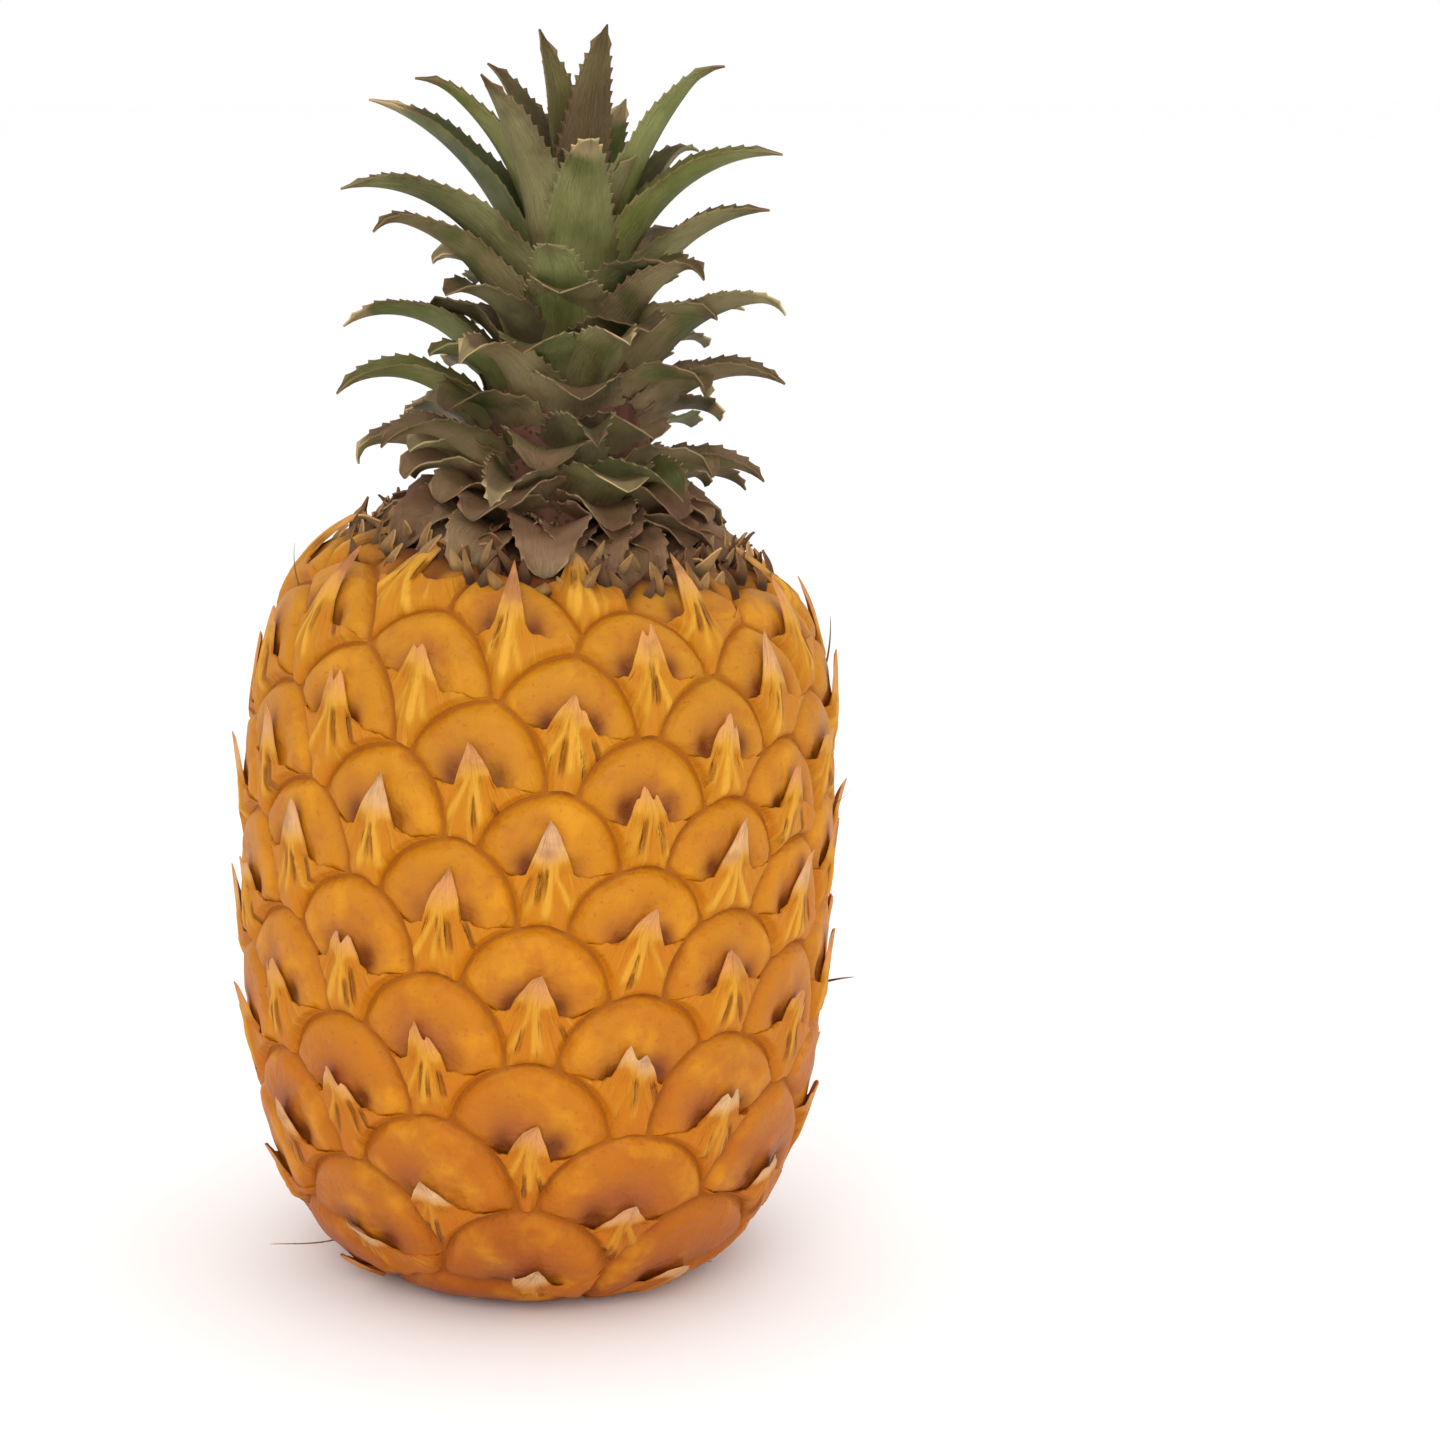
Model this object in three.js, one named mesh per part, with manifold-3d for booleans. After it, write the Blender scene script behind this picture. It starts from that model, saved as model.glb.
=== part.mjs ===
// A whole pineapple standing on its base: the fruit with its ring upon ring of eyes, the crown of
// spiny leaves on top, and the cut end of the stalk in a dimple underneath.
// Millimetres, +Z up. The front is -Y, and the origin is the middle of the base on the floor.

import * as THREE from 'three';
import { ConvexHull } from 'three/addons/math/ConvexHull.js';
import { mergeVertices } from 'three/addons/utils/BufferGeometryUtils.js';
import Module from 'manifold-3d';

// Fruit. Its radii and levels are those of the skin down in the grooves between the eyes.
const WAIST_RADIUS = 57.3;
const WAIST_LEVEL = 85;
const TOP_RISE = 61.5;
const BASE_DROP = 86.5; // the round end would close just below the floor, which leaves it a flat spot
const TOP_ROUNDING = { rise: 3, radius: 6 };
const BASE_ROUNDING = { rise: 2.68, radius: 4 };
const PROFILE_STEPS = 4000;

// The fruit's axis is upright up to BEND_START and then curves over towards +X.
const BEND_START = 50;
const BEND_END = WAIST_LEVEL + TOP_RISE;
const BEND_ANGLE = THREE.MathUtils.degToRad(5);
const BEND_RADIUS = (BEND_END - BEND_START) / BEND_ANGLE;

// Eyes follow one spiral, a fixed turn apart, each on its own share of the skin.
const EYE_TURN = 137.167;
const FIRST_EYE_ANGLE = 2.2;
const FIRST_EYE_LEVEL = 68.6;
const EYE_AREA = 472;
const EYE_AREA_LOSS = 0.7; // each eye up the spiral is this much smaller, mm2
const EYES_BELOW = 75;
const EYES_ABOVE = 90;
const LOWEST_EYE_RADIUS = 26; // nearer to the stalk than this there are no eyes
const HIGHEST_EYE_RADIUS = 29; // nor nearer to the middle of the crown than this

// One side of the fruit grew faster than the rest, low down, and pushed its eyes up and apart.
const SWELL_RISE = 15.9;
const SWELL_ANGLE = 53.2;
const SWELL_SPREAD = 27.5;
const SWELL_LEVEL = 35.6;
const SWELL_HEIGHT = 62.7;
const SHEAR_TURN = 10.4;
const SHEAR_ANGLE = 17.5;
const SHEAR_LEVEL = 103.5;
const SHEAR_HEIGHT = 30;

// Relief of an eye over the groove round it.
const ARCH = 0.15; // bulge of a groove away from the eye below it, as a share of its length
const SHOULDER_INSET = 0.86;
const SHOULDER_LIFT = 1.6;
const SEAT = { smooth: 21, full: 30 }; // radii: the skin is smooth under the crown, and then has its eyes
const FOOT = { smooth: 22, full: 42 }; // and the same round the stalk, where the weight pressed them flat

// Points of an eye inside its shoulder. x and y run from -1 to 1 over the eye's width and height, and
// lift is the height over the groove. The bract fills the lower half and ends in a ledge, with a tip
// that stands proud in the middle, and the sepals make the dome behind it.
const EYE_RIM = [
  { x: 0.62, y: 0.02, lift: 2.4 },
  { x: 0.46, y: 0.58, lift: 2.0 },
  { x: 0.0, y: 0.78, lift: 1.9 },
  { x: -0.46, y: 0.58, lift: 2.0 },
  { x: -0.62, y: 0.02, lift: 2.4 },
  { x: -0.38, y: -0.56, lift: 2.0 },
  { x: 0.0, y: -0.7, lift: 1.8 },
  { x: 0.38, y: -0.56, lift: 2.0 },
];
const BRACT_TIP = { x: 0.0, y: 0.5, lift: 3.9 };
const BRACT_SIDE = { x: 0.24, y: 0.12, lift: 2.9 };
const BRACT_BELLY = { x: 0.0, y: -0.2, lift: 2.7 };
const HOLLOW_TOP = { x: 0.0, y: 0.59, lift: 1.1 };
const HOLLOW_SIDE = { x: 0.34, y: 0.22, lift: 1.1 };

// Stalk: the cut end sits in a dimple under the fruit, a little short of the floor.
const STALK_RADIUS = 12.5;
const STALK_RISE = 0.8;
const STALK_HEIGHT = 3.6;
const STALK_CLEARANCE = 0.4;
const STALK_SIDES = 24;

// Crown, in a frame of its own that stands on the top of the fruit and leans with it.
const CROWN_GAP = 0.3;
const CROWN_STRAIGHTENING = 0.0003; // the axis straightens again by this times the height squared
const CORE = [[0, 0], [18, 0], [19, 5], [18, 13], [16, 28], [12, 42], [0, 58]]; // radius and height
const CORE_SIDES = 14;
// The leaves that show from the front and the sides, from the foot up: where each points, in degrees
// from the front, the level and radius of its root, its length and width, and its slopes at root and tip.
const FRONT_LEAVES = [
  { theta: -90, level: 4, start: 15, length: 34, width: 16, root: 64, tip: -44 },
  { theta: -20, level: 4, start: 15, length: 30, width: 18, root: 60, tip: -44 },
  { theta: 84, level: 6, start: 15, length: 31, width: 15, root: 62, tip: -34 },
  { theta: 114, level: 4, start: 15, length: 31, width: 14, root: 54, tip: -38 },
  { theta: 34, level: 5, start: 15, length: 32, width: 18, root: 62, tip: -36 },
  { theta: -56, level: 6, start: 15, length: 36, width: 17, root: 68, tip: -34 },
  { theta: 8, level: 9, start: 14, length: 36, width: 18, root: 74, tip: -30 },
  { theta: -80, level: 9, start: 13, length: 46, width: 17, root: 77, tip: -42 },
  { theta: 78, level: 16, start: 13, length: 41, width: 17, root: 72, tip: -20 },
  { theta: -98, level: 18, start: 12, length: 48, width: 16, root: 79, tip: -38 },
  { theta: -32, level: 15, start: 13, length: 42, width: 19, root: 80, tip: -14 },
  { theta: 16, level: 19, start: 12, length: 41, width: 19, root: 82, tip: -10 },
  { theta: 84, level: 24, start: 12, length: 45, width: 18, root: 75, tip: -4 },
  { theta: -70, level: 30, start: 10, length: 50, width: 18, root: 77, tip: -2 },
  { theta: 46, level: 27, start: 11, length: 43, width: 18, root: 84, tip: 14 },
  { theta: -11, level: 27, start: 11, length: 42, width: 21, root: 82, tip: 26 },
  { theta: 80, level: 34, start: 9, length: 49, width: 19, root: 80, tip: 10 },
  { theta: -74, level: 36, start: 9, length: 56, width: 20, root: 76, tip: -16 },
  { theta: 88, level: 45, start: 7, length: 52, width: 18, root: 79, tip: 2 },
  { theta: 3, level: 36, start: 9, length: 50, width: 22, root: 86, tip: 52 },
  { theta: -100, level: 43, start: 7, length: 57, width: 17, root: 74, tip: 12 },
  { theta: -46, level: 38, start: 7, length: 58, width: 21, root: 82, tip: 50 },
  { theta: -84, level: 42, start: 6, length: 58, width: 17, root: 86, tip: 26 },
  { theta: 92, level: 46, start: 5, length: 57, width: 20, root: 82, tip: 48 },
  { theta: -134, level: 47, start: 4, length: 54, width: 19, root: 87, tip: 72 },
  { theta: 155, level: 49, start: 3, length: 54, width: 17, root: 88, tip: 76 },
];
const BACK_LEAVES = 15; // these fill the far side, by a rule, over an arc of it
const BACK_MIDDLE = 178;
const BACK_ARC = 122;
const BACK_TURN = 0.618; // from one of them to the next, as a share of the arc
const LEAF_STATIONS = 7;
const STATION_CROWDING = 0.75; // below 1, the sections of a leaf stand closer towards its tip
const TOOTH = 1.0;
const TOOTH_REACH = 0.9;
const EDGE_THICKNESS = 0.7;
const MIDRIB_THICKNESS = 1.3;
const CHANNEL = { root: 0.95, tip: 0.7 }; // rise of the edges over the midrib, as a share of half the width
const SLOPE_CURVE = 1.44;
const COLLAR_LEAVES = 12;
const COLLAR_STATIONS = 5;
const MIDRIB_STEPS = 24;

const SKIN_COLOUR = 0xd9861f;
const LEAF_COLOUR = 0x66704a;
const STALK_COLOUR = 0xa98a5c;

const UP = new THREE.Vector3(0, 0, 1);

const wasm = await Module();
wasm.setup();

const { degToRad, lerp, smoothstep, clamp } = THREE.MathUtils;

// A repeatable draw between -1 and 1 for item number i, with its own series for each use.
function draw(i, series) {
  const wave = Math.sin(i * 12.9898 + series * 78.233) * 43758.5453;
  return 2 * (wave - Math.floor(wave)) - 1;
}

// ---- Skin: the fruit's body, as a table along its profile from the base to the top ----

// t runs from -1 at the middle of the base to 1 at the middle of the top.
function profilePoint(t) {
  const angle = Math.abs(t) * Math.PI / 2;
  const rounding = t < 0 ? BASE_ROUNDING : TOP_ROUNDING;
  const reach = t < 0 ? -BASE_DROP : TOP_RISE;
  const r = WAIST_RADIUS * Math.cos(angle) ** (2 / rounding.radius);
  const z = WAIST_LEVEL + reach * Math.sin(angle) ** (2 / rounding.rise);
  return { r, z: Math.max(z, 0) };
}

// s is the length along the profile, area the skin's area below it, and u the stretched length
// ds / r, with which angle and u make a map of the skin that keeps its shapes.
function profileTable() {
  const rows = [];
  for (let i = 1; i < PROFILE_STEPS; i += 1) {
    const { r, z } = profilePoint(2 * i / PROFILE_STEPS - 1);
    const last = rows.at(-1) ?? { r, z, s: 0, area: 0, u: 0 };
    const step = Math.hypot(r - last.r, z - last.z);
    const mean = (r + last.r) / 2;
    rows.push({ r, z, s: last.s + step, area: last.area + 2 * Math.PI * mean * step, u: last.u + step / mean });
  }
  return rows;
}

const PROFILE = profileTable();

// The profile's row where the rising quantity key has the given value, between two table rows.
function rowAt(key, value) {
  let low = 0;
  let high = PROFILE.length - 1;
  while (high - low > 1) {
    const middle = (low + high) >> 1;
    if (PROFILE[middle][key] > value) {
      high = middle;
    } else {
      low = middle;
    }
  }
  const a = PROFILE[low];
  const b = PROFILE[high];
  const share = clamp((value - a[key]) / (b[key] - a[key]), 0, 1);
  const length = Math.hypot(b.r - a.r, b.z - a.z);
  const row = { outR: (b.z - a.z) / length, outZ: (a.r - b.r) / length };
  for (const name of ['r', 'z', 's', 'area', 'u']) {
    row[name] = lerp(a[name], b[name], share);
  }
  return row;
}

const WAIST = rowAt('z', WAIST_LEVEL);

// Curves a point of the upright fruit over with the fruit's axis.
function bend(x, y, z) {
  const angle = Math.max(z - BEND_START, 0) / BEND_RADIUS;
  if (angle === 0) {
    return new THREE.Vector3(x, y, z);
  }
  return new THREE.Vector3(
    BEND_RADIUS * (1 - Math.cos(angle)) + x * Math.cos(angle),
    y,
    BEND_START + BEND_RADIUS * Math.sin(angle) - x * Math.sin(angle),
  );
}

// The point of the skin at angle theta and profile length s, raised by lift. Nothing goes below the floor.
function skinPoint({ s, theta }, lift) {
  const row = rowAt('s', s);
  const end = row.z > WAIST_LEVEL ? SEAT : FOOT;
  const raised = lift * smoothstep(row.r, end.smooth, end.full);
  const r = row.r + row.outR * raised;
  const z = row.z + row.outZ * raised;
  const point = bend(r * Math.sin(theta), -r * Math.cos(theta), z);
  point.z = Math.max(point.z, 0);
  return point;
}

// ---- Eyes ----

function wrapDegrees(angle) {
  return angle - 360 * Math.round(angle / 360);
}

// The middle of eye number n, or null where it would lie under the crown or on the stalk.
function eyeMiddle(n) {
  const start = rowAt('z', FIRST_EYE_LEVEL).area;
  const row = rowAt('area', start + n * EYE_AREA - n * n * EYE_AREA_LOSS / 2);
  const angle = wrapDegrees(FIRST_EYE_ANGLE + n * EYE_TURN);
  const across = wrapDegrees(angle - SWELL_ANGLE) / SWELL_SPREAD;
  const along = (row.z - SWELL_LEVEL) / SWELL_HEIGHT;
  const rise = SWELL_RISE * Math.exp(-across * across - along * along);
  const sway = Math.sin(degToRad(angle - SHEAR_ANGLE)) * Math.tanh((SHEAR_LEVEL - row.z) / SHEAR_HEIGHT);
  const moved = rowAt('s', row.s + rise);
  const limit = moved.z < WAIST_LEVEL ? LOWEST_EYE_RADIUS : HIGHEST_EYE_RADIUS;
  return moved.r < limit ? null : { s: moved.s, u: moved.u, theta: degToRad(angle + SHEAR_TURN * sway) };
}

// The skin's map wrapped on a unit ball, where the hull of the middles joins each eye to its neighbours.
function onBall({ u, theta }) {
  const wide = 1 / Math.cosh(u - WAIST.u);
  return new THREE.Vector3(wide * Math.sin(theta), -wide * Math.cos(theta), Math.tanh(u - WAIST.u));
}

function offBall(point) {
  const level = clamp(point.z, -0.999999, 0.999999);
  const row = rowAt('u', WAIST.u + Math.atanh(level));
  return { s: row.s, theta: Math.atan2(point.x, -point.y) };
}

// Each face of the hull gives a corner where three eyes meet. Lists the corners round each middle.
function eyeCorners(middles) {
  const points = middles.map((middle) => (middle.pole ? new THREE.Vector3(0, 0, middle.pole) : onBall(middle)));
  const hull = new ConvexHull().setFromPoints(points);
  const index = new Map(points.map((point, i) => [point, i]));
  const corners = [];
  const links = middles.map(() => new Map());
  for (const face of hull.faces) {
    const edges = [face.edge, face.edge.next, face.edge.next.next];
    const eyes = edges.map((edge) => index.get(edge.head().point));
    corners.push(offBall(face.normal));
    for (let i = 0; i < 3; i += 1) {
      links[eyes[i]].set(eyes[(i + 1) % 3], { corner: corners.length - 1, next: eyes[(i + 2) % 3] });
    }
  }
  return { corners, links };
}

// Moves theta by whole turns to within half a turn of the given angle.
function nearTo(theta, angle) {
  return theta - 2 * Math.PI * Math.round((theta - angle) / (2 * Math.PI));
}

// The middle of the groove between two eyes, bulging away from the lower one.
function grooveMiddle(one, other, from, to) {
  const theta = nearTo(to.theta, from.theta);
  const s = (from.s + to.s) / 2;
  if (one.pole || other.pole) {
    return { s, theta: (from.theta + theta) / 2 };
  }
  const { r } = rowAt('s', s);
  const length = Math.hypot(r * (theta - from.theta), to.s - from.s);
  const across = r * nearTo(other.theta - one.theta, 0);
  const along = other.s - one.s;
  const span = Math.hypot(across, along);
  const bulge = ARCH * length * clamp(2 * along / span, -1, 1) / span;
  return { s: s + bulge * along, theta: (from.theta + theta) / 2 + bulge * across / r };
}

// Joins two closed rings of vertices, both in anticlockwise order, by a band of triangles.
function zip(triangles, outer, inner) {
  const startAngle = outer[0].angle;
  const sorted = [outer, inner].map((ring) => {
    const turned = ring.map((v) => ({ id: v.id, angle: nearTo(v.angle - startAngle, Math.PI - 1e-6) }));
    turned.sort((a, b) => a.angle - b.angle);
    return [...turned, { id: turned[0].id, angle: turned[0].angle + 2 * Math.PI }];
  });
  const [a, b] = sorted;
  let i = 0;
  let j = 0;
  while (i < a.length - 1 || j < b.length - 1) {
    if (j === b.length - 1 || (i < a.length - 1 && a[i + 1].angle <= b[j + 1].angle)) {
      triangles.push(a[i].id, a[i + 1].id, b[j].id);
      i += 1;
    } else {
      triangles.push(b[j].id, a[i].id, b[j + 1].id);
      j += 1;
    }
  }
}

// One eye inside its ring of groove points: shoulder, dome, bract with its tip, and hollow behind it.
function addEye(vertices, triangles, middle, groove) {
  const { r } = rowAt('s', middle.s);
  const place = (x, y, lift) => {
    vertices.push(skinPoint({ s: middle.s + y, theta: middle.theta + x / r }, lift));
    return { id: vertices.length - 1, angle: Math.atan2(y, x) };
  };
  const outline = groove.map((point) => {
    const x = r * (nearTo(point.theta, middle.theta) - middle.theta);
    const y = point.s - middle.s;
    return { id: point.id, x, y, angle: Math.atan2(y, x) };
  });
  const shoulder = outline.map(({ x, y }) => place(SHOULDER_INSET * x, SHOULDER_INSET * y, SHOULDER_LIFT));
  zip(triangles, outline, shoulder);
  const right = Math.max(...outline.map((point) => point.x));
  const left = -Math.min(...outline.map((point) => point.x));
  const above = Math.max(...outline.map((point) => point.y));
  const below = -Math.min(...outline.map((point) => point.y));
  const put = ({ x, y, lift }, mirror = 1) => {
    const wide = x * mirror > 0 ? right : left;
    return place(x * mirror * wide, y * (y > 0 ? above : below), lift);
  };
  const rim = EYE_RIM.map((point) => put(point));
  zip(triangles, shoulder, rim);
  const [east, upEast, up, upWest, west, downWest, down, downEast] = rim.map((point) => point.id);
  const tip = put(BRACT_TIP).id;
  const sideEast = put(BRACT_SIDE).id;
  const sideWest = put(BRACT_SIDE, -1).id;
  const belly = put(BRACT_BELLY).id;
  const hollow = put(HOLLOW_TOP).id;
  const hollowEast = put(HOLLOW_SIDE).id;
  const hollowWest = put(HOLLOW_SIDE, -1).id;
  triangles.push(
    down, downEast, belly, downEast, east, belly, east, sideEast, belly, sideEast, tip, belly,
    tip, sideWest, belly, sideWest, west, belly, west, downWest, belly, downWest, down, belly,
    east, hollowEast, sideEast, sideEast, hollowEast, tip, hollowEast, hollow, tip,
    hollow, hollowWest, tip, hollowWest, sideWest, tip, hollowWest, west, sideWest,
    east, upEast, hollowEast, upEast, hollow, hollowEast, upEast, up, hollow,
    up, upWest, hollow, upWest, hollowWest, hollow, upWest, west, hollowWest,
  );
}

// The plain skin under the crown and round the stalk, from its ring of groove points to the pole.
function addPole(vertices, triangles, pole, groove) {
  const s = pole < 0 ? 0 : PROFILE.at(-1).s;
  vertices.push(skinPoint({ s, theta: 0 }, 0));
  const middle = vertices.length - 1;
  groove.forEach((point, i) => {
    triangles.push(point.id, groove[(i + 1) % groove.length].id, middle);
  });
}

function fruitGeometry() {
  const middles = [{ pole: -1, s: 0, theta: 0 }, { pole: 1, s: PROFILE.at(-1).s, theta: 0 }];
  for (let n = -EYES_BELOW; n <= EYES_ABOVE; n += 1) {
    const middle = eyeMiddle(n);
    if (middle) {
      middles.push(middle);
    }
  }
  const { corners, links } = eyeCorners(middles);
  const vertices = [];
  const triangles = [];
  const shared = new Map();
  const share = (key, make) => {
    if (!shared.has(key)) {
      const point = make();
      vertices.push(skinPoint(point, 0));
      shared.set(key, { ...point, id: vertices.length - 1 });
    }
    return shared.get(key);
  };
  middles.forEach((middle, eye) => {
    const around = links[eye];
    const groove = [];
    let neighbour = around.keys().next().value;
    for (let i = 0; i < around.size; i += 1) {
      const { corner, next } = around.get(neighbour);
      const after = around.get(next).corner;
      groove.push(share(`corner ${corner}`, () => corners[corner]));
      const key = `groove ${Math.min(eye, next)} ${Math.max(eye, next)}`;
      groove.push(share(key, () => grooveMiddle(middle, middles[next], corners[corner], corners[after])));
      neighbour = next;
    }
    if (middle.pole) {
      addPole(vertices, triangles, middle.pole, groove);
    } else {
      addEye(vertices, triangles, middle, groove);
    }
  });
  return { vertices, triangles };
}

// ---- Crown ----

// Place and form of leaf number k on the far side, from the lowest up.
function backLeafForm(k) {
  const up = k / (BACK_LEAVES - 1);
  return {
    theta: BACK_MIDDLE + BACK_ARC * ((k * BACK_TURN + 0.3) % 1 - 0.5) + 5 * draw(k, 1),
    level: lerp(4, 46, up) + 1.5 * draw(k, 2),
    start: lerp(15, 5, up),
    length: lerp(34, 53, up) + 3 * draw(k, 3),
    width: 16 + draw(k, 4),
    root: lerp(64, 86, up) + 3 * draw(k, 5),
    tip: lerp(-44, 48, up) + 9 * draw(k, 6),
  };
}

// The short dry leaves that lie in a ring round the foot of the crown.
function collarLeafForm(k) {
  return {
    theta: 360 * k / COLLAR_LEAVES + 7 * draw(k, 11),
    level: 1.5 + 2.5 * (k % 2),
    start: 15,
    length: 17 + 2 * draw(k, 12),
    width: 15 + draw(k, 13),
    root: 46 + 6 * draw(k, 14),
    tip: -36 + 8 * draw(k, 15),
  };
}

// A leaf with all that the making of its blade needs, in radians. Each is rolled a little to one side.
function leafOf(form, stations, number) {
  return {
    ...form,
    stations,
    theta: degToRad(form.theta),
    rootSlope: degToRad(form.root),
    tipSlope: degToRad(form.tip),
    roll: degToRad(9 * draw(number, 7)),
  };
}

// Half of the leaf's width at share t of its length, without its teeth.
function leafHalfWidth(leaf, t) {
  return leaf.width / 2 * (1 - t) ** 0.64 * (0.8 + 0.2 * smoothstep(t, 0, 0.3));
}

// The six corners of the leaf's section at share t: the two edges and the midrib, above and below.
function leafSection(leaf, t, tooth) {
  const point = midribPoint(leaf, t);
  const slope = slopeAt(leaf, t);
  const ahead = new THREE.Vector3(Math.cos(slope), 0, Math.sin(slope));
  const above = new THREE.Vector3(-Math.sin(slope), 0, Math.cos(slope));
  const aside = new THREE.Vector3(0, 1, 0).applyAxisAngle(ahead, leaf.roll * t);
  above.applyAxisAngle(ahead, leaf.roll * t);
  const half = leafHalfWidth(leaf, t) + tooth;
  const middle = new THREE.Vector3(point.x, 0, point.z);
  const rib = lerp(MIDRIB_THICKNESS, EDGE_THICKNESS, t) / 2;
  const corners = [];
  for (const side of [-1, 0, 1]) {
    const edge = middle.clone().addScaledVector(aside, side * half);
    edge.addScaledVector(above, Math.abs(side) * lerp(CHANNEL.root, CHANNEL.tip, t) * half);
    edge.addScaledVector(ahead, side && tooth ? TOOTH_REACH : 0);
    const thick = side ? EDGE_THICKNESS / 2 : rib;
    corners.push(edge.clone().addScaledVector(above, thick), edge.clone().addScaledVector(above, -thick));
  }
  return corners;
}

function slopeAt(leaf, t) {
  return lerp(leaf.rootSlope, leaf.tipSlope, t ** SLOPE_CURVE);
}

// The point of the leaf's midrib at share t, in the upright plane the leaf grows in.
function midribPoint(leaf, t) {
  const point = { x: leaf.start, z: leaf.level };
  const step = leaf.length * t / MIDRIB_STEPS;
  for (let i = 0; i < MIDRIB_STEPS; i += 1) {
    const slope = slopeAt(leaf, t * (i + 0.5) / MIDRIB_STEPS);
    point.x += step * Math.cos(slope);
    point.z += step * Math.sin(slope);
  }
  return point;
}

function leafSolid(leaf) {
  const vertices = [];
  for (let i = 0; i < leaf.stations; i += 1) {
    const t = (i / leaf.stations) ** STATION_CROWDING;
    vertices.push(...leafSection(leaf, t, i % 2 ? TOOTH * (1 - 0.4 * t) : 0));
  }
  const midribTip = leafSection(leaf, 1, 0).slice(2, 4);
  vertices.push(...midribTip);
  for (const vertex of vertices) {
    vertex.applyAxisAngle(UP, leaf.theta - Math.PI / 2);
    vertex.x -= CROWN_STRAIGHTENING * vertex.z ** 2;
  }
  return solidFrom(vertices, leafTriangles(leaf.stations));
}

// Triangles of a blade with six corners at each station and two at its tip. A quad is split from
// its first corner to the one opposite, alike on both faces.
function leafTriangles(stations) {
  const triangles = [];
  const quad = (a, b, c, d) => triangles.push(a, b, c, a, c, d);
  for (let i = 0; i < stations - 1; i += 1) {
    const a = 6 * i;
    const b = a + 6;
    quad(a, b, b + 2, a + 2);
    quad(a + 4, a + 2, b + 2, b + 4);
    triangles.push(a + 1, b + 3, b + 1, a + 1, a + 3, b + 3);
    triangles.push(a + 5, b + 3, a + 3, a + 5, b + 5, b + 3);
    quad(a, a + 1, b + 1, b);
    quad(a + 5, a + 4, b + 4, b + 5);
  }
  quad(0, 2, 3, 1);
  quad(2, 4, 5, 3);
  const last = 6 * (stations - 1);
  const tip = last + 6;
  triangles.push(last, tip, last + 2, last + 2, tip, last + 4);
  triangles.push(last + 1, last + 3, tip + 1, last + 3, last + 5, tip + 1);
  quad(last, last + 1, tip + 1, tip);
  quad(last + 5, last + 4, tip, tip + 1);
  return triangles;
}

function crownSolid() {
  let crown = solidOfRevolution(CORE, CORE_SIDES);
  for (let k = 0; k < COLLAR_LEAVES; k += 1) {
    crown = crown.add(leafSolid(leafOf(collarLeafForm(k), COLLAR_STATIONS, 100 + k)));
  }
  for (let k = 0; k < BACK_LEAVES; k += 1) {
    crown = crown.add(leafSolid(leafOf(backLeafForm(k), LEAF_STATIONS, 50 + k)));
  }
  FRONT_LEAVES.forEach((form, k) => {
    crown = crown.add(leafSolid(leafOf(form, LEAF_STATIONS, k)));
  });
  return withoutCavities(crown);
}

// Leaves that cross can shut in a gap between them, which the plant would have filled.
function withoutCavities(solid) {
  const shells = solid.decompose();
  return shells.reduce((largest, shell) => (shell.volume() > largest.volume() ? shell : largest));
}

// ---- Stalk ----

function stalkSolid(clearance = 0) {
  const radius = STALK_RADIUS + clearance;
  const top = STALK_RISE + STALK_HEIGHT + clearance;
  const foot = clearance ? -1 : STALK_RISE;
  return solidOfRevolution([[0, foot], [radius, foot], [radius - 1, top - 0.6], [radius - 2, top], [0, top]], STALK_SIDES);
}

// ---- Solids and meshes ----

function solidFrom(vertices, triangles) {
  const vertProperties = new Float32Array(vertices.flatMap((v) => [v.x, v.y, v.z]));
  const mesh = new wasm.Mesh({ numProp: 3, vertProperties, triVerts: new Uint32Array(triangles) });
  return new wasm.Manifold(mesh);
}

// The solid swept round the Z axis by a list of radius and height pairs that starts and ends on it.
function solidOfRevolution(profile, sides) {
  const points = profile.map(([radius, height]) => new THREE.Vector2(radius, height));
  const lathe = new THREE.LatheGeometry(points, sides);
  lathe.rotateX(Math.PI / 2);
  lathe.deleteAttribute('normal');
  lathe.deleteAttribute('uv');
  const merged = mergeVertices(lathe);
  const vertices = [];
  for (let i = 0; i < merged.attributes.position.count; i += 1) {
    vertices.push(new THREE.Vector3().fromBufferAttribute(merged.attributes.position, i));
  }
  const triangles = [];
  for (let i = 0; i < merged.index.count; i += 3) {
    const [a, b, c] = merged.index.array.subarray(i, i + 3);
    if (a !== b && b !== c && c !== a) {
      triangles.push(a, b, c);
    }
  }
  return solidFrom(vertices, triangles);
}

function meshOf(name, solid, colour, roughness) {
  const { vertProperties, triVerts, numProp } = solid.getMesh();
  const geometry = new THREE.BufferGeometry();
  const stride = new THREE.InterleavedBuffer(vertProperties, numProp);
  geometry.setAttribute('position', new THREE.InterleavedBufferAttribute(stride, 3, 0));
  geometry.setIndex(new THREE.BufferAttribute(triVerts, 1));
  geometry.computeVertexNormals();
  const material = new THREE.MeshStandardMaterial({ color: colour, roughness, metalness: 0 });
  const mesh = new THREE.Mesh(geometry, material);
  mesh.name = name;
  return mesh;
}

function fruitSolid() {
  const { vertices, triangles } = fruitGeometry();
  return solidFrom(vertices, triangles).subtract(stalkSolid(STALK_CLEARANCE));
}

const crown = meshOf('crown', crownSolid(), LEAF_COLOUR, 0.55);
crown.rotation.y = BEND_ANGLE;
crown.position.copy(bend(0, 0, BEND_END + CROWN_GAP));

const pineapple = new THREE.Group();
pineapple.add(meshOf('fruit', fruitSolid(), SKIN_COLOUR, 0.5));
pineapple.add(crown);
pineapple.add(meshOf('stalk', stalkSolid(), STALK_COLOUR, 0.8));

export default pineapple;
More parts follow.
